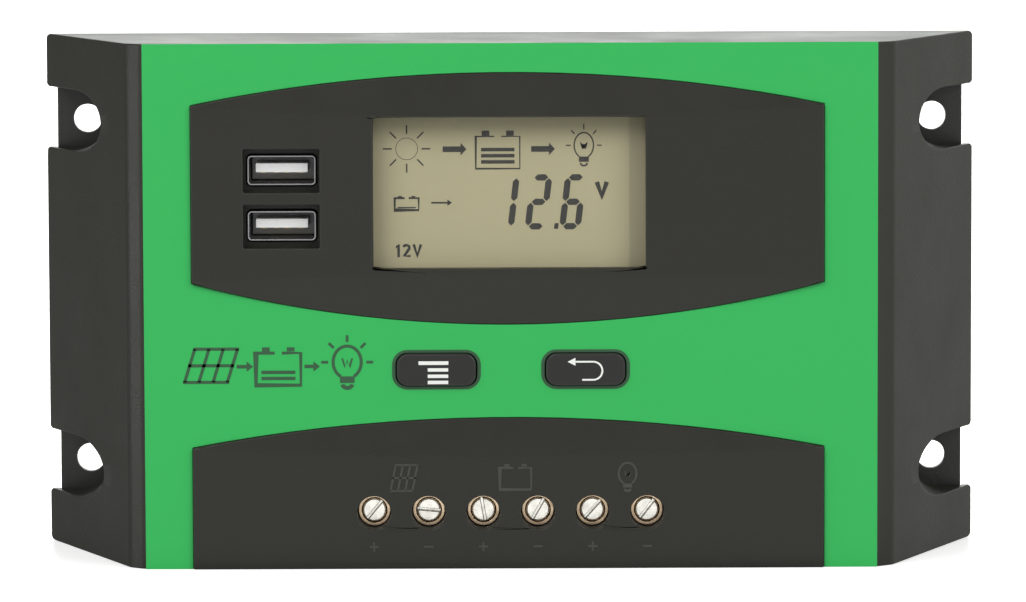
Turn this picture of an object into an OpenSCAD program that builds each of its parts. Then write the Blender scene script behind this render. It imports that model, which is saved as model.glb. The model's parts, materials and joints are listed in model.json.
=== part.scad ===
// Wall-mounted charge controller: display, two charging sockets, two keys and six screw terminals.
// X runs to the right, Y from the front towards the wall, and Z up, in millimetres.
// The wall plane is Y = 0, and the origin is the centre of the four mounting holes.

/* [Housing] */
// Width of the housing at the wall
body_w = 183.5; // [180:0.5:186]
// Height of the housing
body_h = 101; // [100:0.5:103]
// Depth from the wall to the face of the front film
body_d = 45; // [45:0.25:47]
// Width of the flat front between its two side bands
front_w = 141; // [139:0.5:142]
// Width where a sloping side meets its side band
band_w = 147; // [145:0.2:148]
// Depth of the side bands
band_d = 2.4; // [1.5:0.1:3]
// Wall thickness of the front shell
wall = 2.2; // [1.8:0.1:2.4]
// Corner radius of the housing, seen from the front
corner_r = 1; // [0.5:0.1:2]
// Thickness of the printed front film
film_t = 0.3; // [0.2:0.05:0.5]

/* [Mounting] */
// Hole spacing across
mount_w = 167.2; // [164:0.2:168]
// Hole spacing up
mount_h = 67.6; // [64:0.2:70]
// Mounting hole diameter
mount_hole_d = 5.6; // [4.5:0.1:6]
// Radius of the pocket around each mounting hole
pocket_r = 6; // [5.5:0.1:6.5]
// Thickness of the back plate
plate_t = 2; // [1.5:0.1:2.5]

/* [Front pads] */
// Height of the pads above the film
pad_rise = 0.8; // [0.4:0.1:1.2]
// Left edge of the pads
pad_left = -61.1; // [-62:0.1:-60]
// Right edge of the pads
pad_right = 60; // [59:0.1:61]
// Upper corners of the display pad
eye_top_end = 38.7; // [38:0.1:39]
// Middle of the display pad's upper arc
eye_top_mid = 44.85; // [44:0.05:46]
// Lower corners of the display pad
eye_low_end = 4.6; // [4:0.1:5]
// Middle of the display pad's lower arc
eye_low_mid = -3.4; // [-4:0.1:-3]
// Middle of the display pad's upper crease
eye_top_crease = 36.4; // [36:0.1:37]
// Middle of the display pad's lower crease
eye_low_crease = 6.25; // [6:0.05:6.5]
// Upper corners of the terminal pad
low_pad_end = -27.1; // [-28:0.1:-26]
// Middle of the terminal pad's upper arc
low_pad_mid = -21.4; // [-22:0.1:-21]
// Middle of the terminal pad's crease
low_pad_crease = -28.8; // [-29:0.1:-28]

/* [Display] */
// Width of the display opening
lcd_w = 52.2; // [50:0.2:53]
// Height of the display opening
lcd_h = 29; // [28:0.1:29.2]
// Centre of the display opening, across
lcd_x = -0.2; // [-1:0.1:1]
// Centre of the display opening, up
lcd_z = 21.85; // [21:0.05:22.5]

/* [Charging sockets] */
// Centre of both sockets, across
usb_x = -43.8; // [-44.5:0.1:-43]
// Centre of the upper socket, up
usb_upper_z = 26.2; // [26:0.1:27]
// Centre of the lower socket, up
usb_lower_z = 15.55; // [15:0.05:16]
// Width of a socket's metal shell
usb_w = 13.1; // [13:0.05:13.2]
// Height of a socket's metal shell
usb_h = 5.7; // [5.6:0.05:5.8]
// Width of a socket's window in the front
usb_window_w = 14.6; // [14:0.1:15]
// Height of a socket's window in the front
usb_window_h = 8.3; // [7:0.1:8.6]

/* [Keys] */
// Width of a key
key_w = 15.2; // [14:0.1:17]
// Height of a key
key_h = 6.3; // [6:0.1:8]
// Corner radius of a key
key_r = 2.2; // [1.5:0.1:3]
// Distance between the two keys' centres
key_pitch = 28.6; // [27:0.1:30]
// Height of the keys' centres
key_z = -12.1; // [-12.5:0.1:-11.5]
// Travel of a key
key_travel = 0.5; // [0.3:0.05:0.5]

/* [Terminals] */
// Distance between two terminals
pole_pitch = 10.5; // [10.4:0.05:10.6]
// Centre of the first terminal, across
pole_x = -26.4; // [-27:0.1:-26]
// Height of the terminal screws' axes
pole_z = -39.7; // [-40:0.1:-39.4]
// Diameter of the screw holes in the front
pole_hole_d = 6.5; // [6:0.1:7]
// Head diameter of a terminal screw
screw_head_d = 4.6; // [4.4:0.05:4.7]
// Thread diameter of a terminal screw
screw_d = 4; // [3.5:0.1:4]
// Travel of a terminal clamp
clamp_travel = 3.5; // [2:0.1:3.5]

/* [Hidden] */
$fn = 64;
eps = 0.5;
big_arc = 720;

// Outline of the shell, seen from above
half_w = body_w / 2;
half_h = body_h / 2;
front_x = front_w / 2;
band_x = band_w / 2;
skin_y = body_d - film_t;
band_y = skin_y - band_d;
slope = (half_w - band_x) / band_y;
side_wall = wall * sqrt(1 + slope * slope);
cavity_y = skin_y - wall;
cavity_x = half_w - slope * cavity_y - side_wall;
pad_y = body_d + pad_rise;
film_gap = 0.1;
film_side_gap = 0.2;
crease_short = 0.12;

// Back plate and its rebate in the shell
plate_x = half_w - 2.2;
plate_z = half_h - 1.5;
plate_gap = 0.15;
pocket_x = 85.3;
pocket_z = 34.1;
pocket_wall = 1.9;
pocket_mouth_r = 0.8;

// Long bosses that the back plate is screwed to
boss_x = 66;
boss_z = 42.5;
boss_r = 3.5;

// Boards, given by their rear faces
board_t = 1.6;
power_y = 15;
power_x = 58;
power_low = -47.8;
power_top = 38;
power_front = power_y + board_t;
display_y = 27.9;
display_front = display_y + board_t;
display_left = -58;
display_right = 38;
display_low = -21;
display_top = 43;
display_posts = [[-54, 38.5], [34, 38.5], [-54, -16], [34, -16]];
display_post_r = 3;
power_posts = [[-53, 33], [53, 33], [-53, -25], [53, -25]];

// Display stack, from the front back
window_t = 1;
glass_front = cavity_y - window_t - 0.3;
glass_t = 2.8;
glass_back = glass_front - glass_t;
light_t = 3.2;
lcd_low = lcd_z - lcd_h / 2;
lcd_top = lcd_z + lcd_h / 2;
glass_x = lcd_w / 2 + 1.7;
holder_t = 1.2;

// Keys and their switches
key_gap = 0.2;
film_key_gap = 0.3;
key_front = body_d + 0.9;
key_back = cavity_y - 1.3;
key_flange = 1.1;
switch_t = 3.5;
switch_w = 6;
switch_front = display_front + switch_t;
plunger_r = 1.75;
plunger_front = switch_front + 1.5;
plunger_back = switch_front - 1.7;

// Charging sockets
usb_front = 43.5;
usb_sheet = 0.3;
tongue_front = usb_front - 0.9;
tongue_w = 10;
tongue_t = 1.75;
tongue_z = 0.4;
usb_base_front = display_front + 4;
usb_floor_t = 1.3;
usb_floor_rim = 1.2;
usb_floor_sink = 0.2;
usb_floor_gap = 0.15;

// Terminal block, its cages, clamps and screws
block_left = pole_x - 6.5;
block_right = pole_x + 5 * pole_pitch + 6.5;
block_front = cavity_y - 0.6;
block_low = -half_h + 0.2;
block_top = pole_z + 8.2;
cell_x = 4.25;
cell_front = 32.7;
cell_low = block_low + 1.3;
cell_top = block_top - 1.2;
cage_gap = 0.2;
cage_front = cell_front - 0.3;
cage_back = 18.6;
chamber_x = 3.15;
chamber_back = 19.8;
chamber_front = 27.2;
collar_front = 40.6;
collar_r = 3.1;
head_front = 40.5;
head_back = 38;
head_slot_w = 0.55;
head_slot_d = 1.1;
slot_turns = [50, -5, 100, 60, 48, 52];
thread_gap = 0.05;
clamp_front = chamber_front - 0.1;
clamp_t = 1.2;

// Power transistors under their bar
fet_count = 6;
fet_pitch = 15;
fet_z = 16;
fet_w = 10;
fet_h = 9;
pad_t = 0.3;
tab_t = 1.3;
fet_t = 3.2;
tab_top = plate_t + pad_t + tab_t;
fet_top = tab_top + fet_t;
bar_t = 1.5;
bar_x = 50;
bar_screws = [-47, 0, 47];
bar_clearance_r = 1.7;

// Board-to-board connector
pin_count = 8;
pin_pitch = 2.54;
header_z = -18;

function pole(n) = pole_x + (n - 1) * pole_pitch;
function arc_r(half, rise) = (half * half + rise * rise) / (2 * rise);

pad_mid = (pad_left + pad_right) / 2;
pad_half = (pad_right - pad_left) / 2;

// A block given by its lower and upper limits, with depths counted from the wall
module slab(x, depth, z) {
    translate([x[0], -depth[1], z[0]])
        cube([x[1] - x[0], depth[1] - depth[0], z[1] - z[0]]);
}

// A front outline given a thickness between two depths
module plate_of(back, front) {
    translate([0, -back, 0])
        rotate([90, 0, 0])
            linear_extrude(front - back)
                children();
}

// A round rod that runs from one depth to another
module rod(x, z, r, back, front) {
    translate([x, -back, z])
        rotate([90, 0, 0])
            cylinder(r = r, h = front - back);
}

// A turned shape around an axis along Y: points are radius and depth
module turned(x, z, points) {
    translate([x, 0, z])
        rotate([90, 0, 0])
            rotate_extrude()
                polygon(points);
}

module rounded(w, h, r) {
    difference() {
        square([w, h], center = true);
        for (i = [0, 1], j = [0, 1])
            mirror([i, 0])
                mirror([0, j])
                    translate([w / 2 - r, h / 2 - r])
                        difference() {
                            square(r + eps);
                            circle(r);
                        }
    }
}

// Arched outline of the display pad, grown by a gap
module eye_outline(grow) {
    top_r = arc_r(pad_half, eye_top_mid - eye_top_end);
    low_r = arc_r(pad_half, eye_low_end - eye_low_mid);
    intersection() {
        translate([pad_left - grow, eye_low_mid - 2])
            square([pad_right - pad_left + 2 * grow, eye_top_mid - eye_low_mid + 4]);
        translate([pad_mid, eye_top_mid - top_r])
            circle(top_r + grow, $fn = big_arc);
        translate([pad_mid, eye_low_mid + low_r])
            circle(low_r + grow, $fn = big_arc);
    }
}

// Arched outline of the terminal pad, grown by a gap
module low_outline(grow) {
    top_r = arc_r(pad_half, low_pad_mid - low_pad_end);
    intersection() {
        translate([pad_left - grow, -half_h - grow])
            square([pad_right - pad_left + 2 * grow, low_pad_mid + half_h + 2]);
        translate([pad_mid, low_pad_mid - top_r])
            circle(top_r + grow, $fn = big_arc);
    }
}

// The wedge cut off a pad above its crease, so that the pad falls to the film at mid-arc.
// The crease meets the pad's ends a little short of the arc's own ends.
module crease_cut(crease, ends, arc_mid) {
    r = arc_r(pad_half, ends - crease_short - crease);
    fall = pad_rise / (arc_mid - crease);
    reach = 12;
    translate([pad_mid, 0, crease + r])
        rotate([90, 0, 0])
            rotate_extrude($fn = big_arc)
                polygon([[r, pad_y], [r, pad_y + 2], [r - reach, pad_y + 2], [r - reach, pad_y - reach * fall]]);
}

module eye_pad() {
    difference() {
        plate_of(skin_y - eps, pad_y)
            eye_outline(0);
        crease_cut(eye_top_crease, eye_top_end, eye_top_mid);
        mirror([0, 0, 1])
            crease_cut(-eye_low_crease, -eye_low_end, -eye_low_mid);
    }
}

module low_pad() {
    difference() {
        plate_of(skin_y - eps, pad_y)
            low_outline(0);
        crease_cut(low_pad_crease, low_pad_end, low_pad_mid);
    }
}

module shell_outside() {
    intersection() {
        translate([0, 0, -half_h])
            linear_extrude(body_h)
                polygon([
                    [-half_w, 0], [half_w, 0], [band_x, -band_y],
                    [front_x, -skin_y], [-front_x, -skin_y], [-band_x, -band_y]
                ]);
        plate_of(-eps, pad_y + eps)
            rounded(body_w, body_h, corner_r);
    }
}

module shell_cavity() {
    translate([0, 0, wall - half_h])
        linear_extrude(body_h - 2 * wall)
            polygon([
                [side_wall - half_w, eps], [half_w - side_wall, eps],
                [cavity_x, -cavity_y], [-cavity_x, -cavity_y]
            ]);
    slab([-plate_x - plate_gap, plate_x + plate_gap], [-eps, plate_t], [-plate_z - plate_gap, plate_z + plate_gap]);
}

module each_pocket() {
    for (i = [0, 1], j = [0, 1])
        mirror([i, 0, 0])
            mirror([0, 0, j])
                children();
}

module pocket_outline(r) {
    translate([pocket_x, pocket_z])
        circle(r);
    translate([pocket_x, pocket_z - r])
        square([20, 2 * r]);
}

// Rounds the two corners where a pocket opens through the side
module pocket_mouth() {
    start = half_w - pocket_mouth_r;
    translate([start, pocket_z])
        difference() {
            translate([0, -pocket_r - pocket_mouth_r])
                square([10, 2 * (pocket_r + pocket_mouth_r)]);
            for (j = [-1, 1])
                translate([0, j * (pocket_r + pocket_mouth_r)])
                    circle(pocket_mouth_r);
        }
}

// Floor of the recess around both sockets, which their metal shells pass through
module usb_floor() {
    difference() {
        slab([usb_x - usb_window_w / 2 - usb_floor_rim, usb_x + usb_window_w / 2 + usb_floor_rim],
            [cavity_y - usb_floor_t, cavity_y + usb_floor_sink],
            [usb_lower_z - usb_window_h / 2 - usb_floor_rim, usb_upper_z + usb_window_h / 2 + usb_floor_rim]);
        for (z = [usb_lower_z, usb_upper_z]) {
            plate_of(cavity_y - usb_floor_sink, cavity_y + eps)
                translate([usb_x, z])
                    square([usb_window_w, usb_window_h], center = true);
            plate_of(cavity_y - usb_floor_t - eps, cavity_y + eps)
                translate([usb_x, z])
                    rounded(usb_w + 2 * usb_floor_gap, usb_h + 2 * usb_floor_gap, 0.8 + usb_floor_gap);
        }
    }
}

module front_shell() {
    color("#3a3b34")
    union() {
        shell_body();
        usb_floor();
    }
}

module shell_body() {
    difference() {
        union() {
            difference() {
                shell_outside();
                shell_cavity();
            }
            intersection() {
                shell_outside();
                each_pocket()
                    plate_of(plate_t, body_d)
                        pocket_outline(pocket_r + pocket_wall);
            }
            eye_pad();
            low_pad();
            for (x = [-boss_x, boss_x], z = [-boss_z, boss_z])
                rod(x, z, boss_r, plate_t, cavity_y + eps);
            for (p = display_posts)
                rod(p[0], p[1], display_post_r, display_front, cavity_y + eps);
        }
        each_pocket()
            plate_of(-eps, body_d) {
                pocket_outline(pocket_r);
                pocket_mouth();
            }
        plate_of(cavity_y - eps, pad_y + eps)
            translate([lcd_x, lcd_z])
                square([lcd_w, lcd_h], center = true);
        for (z = [usb_lower_z, usb_upper_z])
            plate_of(cavity_y - eps, pad_y + eps)
                translate([usb_x, z])
                    square([usb_window_w, usb_window_h], center = true);
        for (x = [-key_pitch / 2, key_pitch / 2])
            plate_of(cavity_y - eps, body_d + eps)
                translate([x, key_z])
                    rounded(key_w + 2 * key_gap, key_h + 2 * key_gap, key_r + key_gap);
        for (n = [1:6])
            turned(pole(n), pole_z, [
                [0, cavity_y - eps], [pole_hole_d / 2, cavity_y - eps], [pole_hole_d / 2, pad_y - 0.4],
                [pole_hole_d / 2 + 0.4, pad_y], [pole_hole_d / 2 + 0.4, pad_y + eps], [0, pad_y + eps]
            ]);
        slab([block_left - 0.2, block_right + 0.2], [power_front - 0.2, block_front + 0.3], [-half_h - eps, wall - half_h + eps]);
        for (x = [-boss_x, boss_x], z = [-boss_z, boss_z])
            rod(x, z, 1.3, plate_t - eps, 14);
        for (p = display_posts)
            rod(p[0], p[1], 0.95, display_front - eps, display_front + 8);
    }
}

module front_film() {
    color("#3cb65f")
    plate_of(skin_y, body_d)
        difference() {
            square([front_w - 2 * film_side_gap, body_h], center = true);
            eye_outline(film_gap);
            low_outline(film_gap);
            for (x = [-key_pitch / 2, key_pitch / 2])
                translate([x, key_z])
                    rounded(key_w + 2 * film_key_gap, key_h + 2 * film_key_gap, key_r + film_key_gap);
        }
}

// Flat plate with mounting holes, countersunk shell screws and the holes for posts and bar
module back_plate() {
    color("#26272a")
    difference() {
        slab([-plate_x, plate_x], [0, plate_t], [-plate_z, plate_z]);
        for (x = [-mount_w / 2, mount_w / 2], z = [-mount_h / 2, mount_h / 2])
            rod(x, z, mount_hole_d / 2, -eps, plate_t + eps);
        for (x = [-boss_x, boss_x], z = [-boss_z, boss_z])
            turned(x, z, [[0, -eps], [3.4, -eps], [3.4, 0.2], [1.7, 1.7], [1.7, plate_t + eps], [0, plate_t + eps]]);
        for (x = bar_screws)
            rod(x, fet_z, 1.25, -eps, plate_t + eps);
    }
}

module lcd_window() {
    color("#d8e0e0", 0.4)
    slab([lcd_x - lcd_w / 2 - 2.5, lcd_x + lcd_w / 2 + 2.5], [cavity_y - window_t, cavity_y], [lcd_low - 2.5, lcd_top + 2.5]);
}

module lcd_glass() {
    color("#b2aa8a")
    slab([lcd_x - glass_x, lcd_x + glass_x], [glass_back, glass_front], [lcd_low - 2.2, lcd_top + 2.2]);
}

module lcd_backlight() {
    color("#f2f2ea")
    slab([lcd_x - glass_x + 0.5, lcd_x + glass_x - 0.5], [glass_back - light_t, glass_back], [lcd_low - 0.2, lcd_top + 1.8]);
}

// Open frame that stands on the display board and locates the glass
module lcd_holder() {
    out_x = glass_x + 0.2 + holder_t;
    low = lcd_low - 2.4;
    top = lcd_top + 2.4;
    color("#e8e8e0")
    difference() {
        slab([lcd_x - out_x, lcd_x + out_x], [display_front, glass_front], [low - holder_t, top + holder_t]);
        slab([lcd_x - out_x + holder_t, lcd_x + out_x - holder_t], [display_front - eps, glass_front + eps], [low, top]);
    }
}

module lcd_zebra_strip() {
    color("#50505a")
    slab([lcd_x - glass_x + 1, lcd_x + glass_x - 1], [display_front, glass_back], [lcd_low - 2, lcd_low - 0.6]);
}

// A key with a flange behind the front wall and a stem down to its switch
module key(x) {
    color("#33342f")
    union() {
        plate_of(key_back, key_front)
            translate([x, key_z])
                rounded(key_w, key_h, key_r);
        plate_of(key_back, cavity_y - 0.1)
            translate([x, key_z])
                rounded(key_w + 2 * key_flange, key_h + 2 * key_flange, key_r + key_flange);
        rod(x, key_z, 2, plunger_front, key_back + eps);
    }
}

module switch_body(x) {
    color("#2a2a2c")
    difference() {
        slab([x - switch_w / 2, x + switch_w / 2], [display_front, switch_front], [key_z - switch_w / 2, key_z + switch_w / 2]);
        rod(x, key_z, plunger_r + 0.1, plunger_back - key_travel - 0.2, switch_front + eps);
    }
}

module switch_plunger(x) {
    color("#1c1c1e")
    rod(x, key_z, plunger_r, plunger_back, plunger_front);
}

module key_menu() { key(-key_pitch / 2); }
module key_return() { key(key_pitch / 2); }
module switch_menu() { switch_body(-key_pitch / 2); }
module switch_return() { switch_body(key_pitch / 2); }
module plunger_menu() { switch_plunger(-key_pitch / 2); }
module plunger_return() { switch_plunger(key_pitch / 2); }

module usb_shell(z) {
    color("#c9cbcd")
    plate_of(display_front, usb_front)
        translate([usb_x, z])
            difference() {
                rounded(usb_w, usb_h, 0.8);
                rounded(usb_w - 2 * usb_sheet, usb_h - 2 * usb_sheet, 0.5);
            }
}

module usb_tongue(z) {
    color("#f4f4f2")
    union() {
        slab([usb_x - 6, usb_x + 6], [display_front, usb_base_front], [z - 2.4, z + 2.4]);
        slab([usb_x - tongue_w / 2, usb_x + tongue_w / 2], [usb_base_front - eps, tongue_front],
            [z + tongue_z - tongue_t / 2, z + tongue_z + tongue_t / 2]);
    }
}

module usb_contacts(z) {
    low = z + tongue_z - tongue_t / 2;
    color("#c9a24a")
    for (x = [-3.5, -1, 1, 3.5])
        slab([usb_x + x - 0.5, usb_x + x + 0.5], [usb_base_front, tongue_front - 0.8], [low - 0.1, low]);
}

module usb_shell_upper() { usb_shell(usb_upper_z); }
module usb_shell_lower() { usb_shell(usb_lower_z); }
module usb_tongue_upper() { usb_tongue(usb_upper_z); }
module usb_tongue_lower() { usb_tongue(usb_lower_z); }
module usb_contacts_upper() { usb_contacts(usb_upper_z); }
module usb_contacts_lower() { usb_contacts(usb_lower_z); }

module display_board() {
    color("#1f6b3c")
    difference() {
        slab([display_left, display_right], [display_y, display_front], [display_low, display_top]);
        for (p = display_posts)
            rod(p[0], p[1], 1.3, display_y - eps, display_front + eps);
    }
}

module power_board() {
    color("#1f6b3c")
    difference() {
        slab([-power_x, power_x], [power_y, power_front], [power_low, power_top]);
        for (p = power_posts)
            rod(p[0], p[1], 1.6, power_y - eps, power_front + eps);
    }
}

// Board-to-board connector: a pin strip below and a slotted socket above
module header_base() {
    color("#1c1c1e")
    slab([-10.2, 10.2], [power_front, power_front + 2.5], [header_z - 1.25, header_z + 1.25]);
}

module header_pins() {
    color("#c9a24a")
    for (n = [0:pin_count - 1]) {
        x = (n - (pin_count - 1) / 2) * pin_pitch;
        slab([x - 0.32, x + 0.32], [power_front + 2.5, display_y - 1], [header_z - 0.32, header_z + 0.32]);
    }
}

module header_socket() {
    color("#1c1c1e")
    difference() {
        slab([-10.2, 10.2], [power_front + 2.7, display_y], [header_z - 1.25, header_z + 1.25]);
        slab([-9.6, 9.6], [power_front + 2.7 - eps, display_y - 0.6], [header_z - 0.6, header_z + 0.6]);
    }
}

module microcontroller() {
    color("#1c1c1e")
    slab([-6, 4], [display_y - 1.4, display_y], [10, 20]);
}

module capacitor(z) {
    r = 8;
    top = power_front + 24;
    color("#23324a")
    turned(48.5, z, [[0, power_front], [r, power_front], [r, top - 0.8], [r - 0.8, top], [0, top]]);
}

module capacitor_upper() { capacitor(17); }
module capacitor_lower() { capacitor(-1); }

module usb_inductor() {
    color("#3c3c40")
    slab([42, 54], [power_front, power_front + 7], [-20, -12]);
}

// Bridge-shaped resistor strip that the charging current passes through
module current_shunt() {
    color("#b08a5c")
    difference() {
        slab([-50, -38], [power_front, power_front + 6], [-24, -20]);
        slab([-49, -39], [power_front - eps, power_front + 5], [-24 - eps, -20 + eps]);
    }
}

function fet_x(n) = (n - (fet_count - 1) / 2) * fet_pitch;

module mosfet_bodies() {
    color("#1c1c1e")
    for (n = [0:fet_count - 1])
        slab([fet_x(n) - fet_w / 2, fet_x(n) + fet_w / 2], [tab_top, fet_top], [fet_z - fet_h / 2, fet_z + fet_h / 2]);
}

// A mounting tab under each body, and three leads bent up to the power board
module mosfet_leads() {
    low = fet_z - fet_h / 2;
    color("#c9cbcd")
    for (n = [0:fet_count - 1]) {
        slab([fet_x(n) - fet_w / 2, fet_x(n) + fet_w / 2], [plate_t + pad_t, tab_top], [low, fet_z + fet_h / 2 + 6]);
        for (x = [-2.54, 0, 2.54])
            union() {
                slab([fet_x(n) + x - 0.4, fet_x(n) + x + 0.4], [tab_top + 1, tab_top + 1.5], [low - 4, low]);
                slab([fet_x(n) + x - 0.4, fet_x(n) + x + 0.4], [tab_top + 1, power_y], [low - 4.5, low - 4]);
            }
    }
}

module thermal_pads() {
    color("#9fa6ad")
    for (n = [0:fet_count - 1])
        slab([fet_x(n) - fet_w / 2 - 0.5, fet_x(n) + fet_w / 2 + 0.5], [plate_t, plate_t + pad_t], [fet_z - fet_h / 2 - 1, fet_z + fet_h / 2 + 7]);
}

module clamp_bar() {
    color("#b8babd")
    difference() {
        slab([-bar_x, bar_x], [fet_top, fet_top + bar_t], [fet_z - 4, fet_z + 4]);
        for (x = bar_screws)
            rod(x, fet_z, bar_clearance_r, fet_top - eps, fet_top + bar_t + eps);
    }
}

// Six-way housing: a cell for each cage, a mouth for each wire and a bore for each collar
module terminal_block() {
    color("#1e1f1d")
    difference() {
        slab([block_left, block_right], [power_front, block_front], [block_low, block_top]);
        for (n = [1:6]) {
            x = pole(n);
            slab([x - cell_x, x + cell_x], [power_front - eps, cell_front], [cell_low, cell_top]);
            slab([x - 3.4, x + 3.4], [chamber_back - 0.4, chamber_front + 0.2], [block_low - eps, cell_low + eps]);
            rod(x, pole_z, collar_r + 0.15, cell_front - eps, block_front + eps);
        }
    }
}

// Brass block with a chamber for the wire, a threaded wall and a collar round the screw
module cage(n) {
    x = pole(n);
    low = cell_low + cage_gap;
    top = cell_top - cage_gap;
    color("#b98f56")
    difference() {
        union() {
            slab([x - cell_x + cage_gap, x + cell_x - cage_gap], [cage_back, cage_front], [low, top]);
            rod(x, pole_z, collar_r, cage_front - eps, collar_front);
            for (z = [low + 2, top - 3])
                slab([x - 2, x + 2], [power_front, cage_back + eps], [z, z + 1]);
        }
        slab([x - chamber_x, x + chamber_x], [chamber_back, chamber_front], [low - eps, top + eps]);
        rod(x, pole_z, screw_d / 2, chamber_front - eps, cage_front + eps);
        rod(x, pole_z, screw_head_d / 2 + 0.15, cage_front, collar_front + eps);
    }
}

// Pressure plate under a terminal screw
module clamp(n) {
    x = pole(n);
    color("#c9cbcd")
    slab([x - chamber_x + 0.2, x + chamber_x - 0.2], [clamp_front - clamp_t, clamp_front], [pole_z - 5, pole_z + 5]);
}

module screw(n) {
    head_r = screw_head_d / 2;
    shank_r = screw_d / 2 - thread_gap;
    color("#d5d6d4")
    difference() {
        turned(pole(n), pole_z, [
            [0, clamp_front], [shank_r - 0.4, clamp_front], [shank_r, clamp_front + 0.4], [shank_r, head_back],
            [head_r, head_back], [head_r, head_front - 0.25], [head_r - 0.25, head_front], [0, head_front]
        ]);
        translate([pole(n), 0, pole_z])
            rotate([0, -slot_turns[n - 1], 0])
                slab([-head_r - eps, head_r + eps], [head_front - head_slot_d, head_front + eps], [-head_slot_w / 2, head_slot_w / 2]);
    }
}

module board_spacers() {
    color("#c2a35a")
    for (p = power_posts)
        difference() {
            translate([p[0], -plate_t, p[1]])
                rotate([90, 0, 0])
                    cylinder(r = 3.2, h = power_y - plate_t, $fn = 6);
            rod(p[0], p[1], 1.55, power_y - 9, power_y + eps);
        }
}

// A pan-head screw whose shank runs from depth tip to the seat under its head
module pan_screw(x, z, r, head_r, tip, seat, head_t) {
    difference() {
        turned(x, z, [
            [0, tip], [r - 0.4, tip], [r, tip + 0.4], [r, seat], [head_r, seat],
            [head_r, seat + head_t - 0.5], [head_r - 0.5, seat + head_t], [0, seat + head_t]
        ]);
        for (a = [0, 90])
            translate([x, 0, z])
                rotate([0, a, 0])
                    slab([-head_r * 0.6, head_r * 0.6], [seat + head_t - 1, seat + head_t + eps], [-0.3, 0.3]);
    }
}

module board_screws() {
    color("#c9cbcd")
    for (p = power_posts)
        pan_screw(p[0], p[1], 1.5, 2.8, power_y - 6, power_front, 2);
}

module clamp_bar_screws() {
    color("#c9cbcd")
    for (x = bar_screws)
        pan_screw(x, fet_z, 1.2, 2.6, 0.3, fet_top + bar_t, 1.8);
}

// Self-tapping screws that hold the display board, driven from behind
module display_screws() {
    color("#c9cbcd")
    for (p = display_posts)
        translate([0, -display_y, 0])
            rotate([0, 0, 180])
                pan_screw(-p[0], p[1], 0.9, 2.1, -8, 0, 1.6);
}

// Countersunk screws through the back plate into the shell's bosses
module shell_screws() {
    color("#3a3a3c")
    for (x = [-boss_x, boss_x], z = [-boss_z, boss_z])
        difference() {
            turned(x, z, [[0, 0.15], [3.1, 0.15], [3.1, 0.35], [1.25, 1.85], [1.25, 12], [0, 12.8]]);
            for (a = [45, 135])
                translate([x, 0, z])
                    rotate([0, a, 0])
                        slab([-1.8, 1.8], [-eps, 1.2], [-0.35, 0.35]);
        }
}

module cage_1() { cage(1); }
module cage_2() { cage(2); }
module cage_3() { cage(3); }
module cage_4() { cage(4); }
module cage_5() { cage(5); }
module cage_6() { cage(6); }
module clamp_1() { clamp(1); }
module clamp_2() { clamp(2); }
module clamp_3() { clamp(3); }
module clamp_4() { clamp(4); }
module clamp_5() { clamp(5); }
module clamp_6() { clamp(6); }
module screw_1() { screw(1); }
module screw_2() { screw(2); }
module screw_3() { screw(3); }
module screw_4() { screw(4); }
module screw_5() { screw(5); }
module screw_6() { screw(6); }

front_shell();
front_film();
back_plate();
lcd_window();
lcd_glass();
lcd_backlight();
lcd_holder();
lcd_zebra_strip();
key_menu();
key_return();
switch_menu();
switch_return();
plunger_menu();
plunger_return();
usb_shell_upper();
usb_shell_lower();
usb_tongue_upper();
usb_tongue_lower();
usb_contacts_upper();
usb_contacts_lower();
display_board();
power_board();
header_base();
header_pins();
header_socket();
microcontroller();
capacitor_upper();
capacitor_lower();
usb_inductor();
current_shunt();
mosfet_bodies();
mosfet_leads();
thermal_pads();
clamp_bar();
terminal_block();
cage_1();
cage_2();
cage_3();
cage_4();
cage_5();
cage_6();
clamp_1();
clamp_2();
clamp_3();
clamp_4();
clamp_5();
clamp_6();
screw_1();
screw_2();
screw_3();
screw_4();
screw_5();
screw_6();
board_spacers();
board_screws();
display_screws();
clamp_bar_screws();
shell_screws();
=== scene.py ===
"""Charge controller: the visual model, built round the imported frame.

The shell, the prints, the display's segments and the raised signs are new meshes, and the other
visible parts are finished copies of their nodes. The inner parts keep their nodes and get a finish
of their own. The frame gives the places of its parts, and the shell's sizes are kept in Housing.
"""

from __future__ import annotations

import json
import logging
import math
from dataclasses import dataclass, field
from enum import Enum
from typing import Callable, Iterable, Sequence

import bmesh
import bpy
from mathutils import Matrix, Vector
from mathutils.geometry import delaunay_2d_cdt

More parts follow.
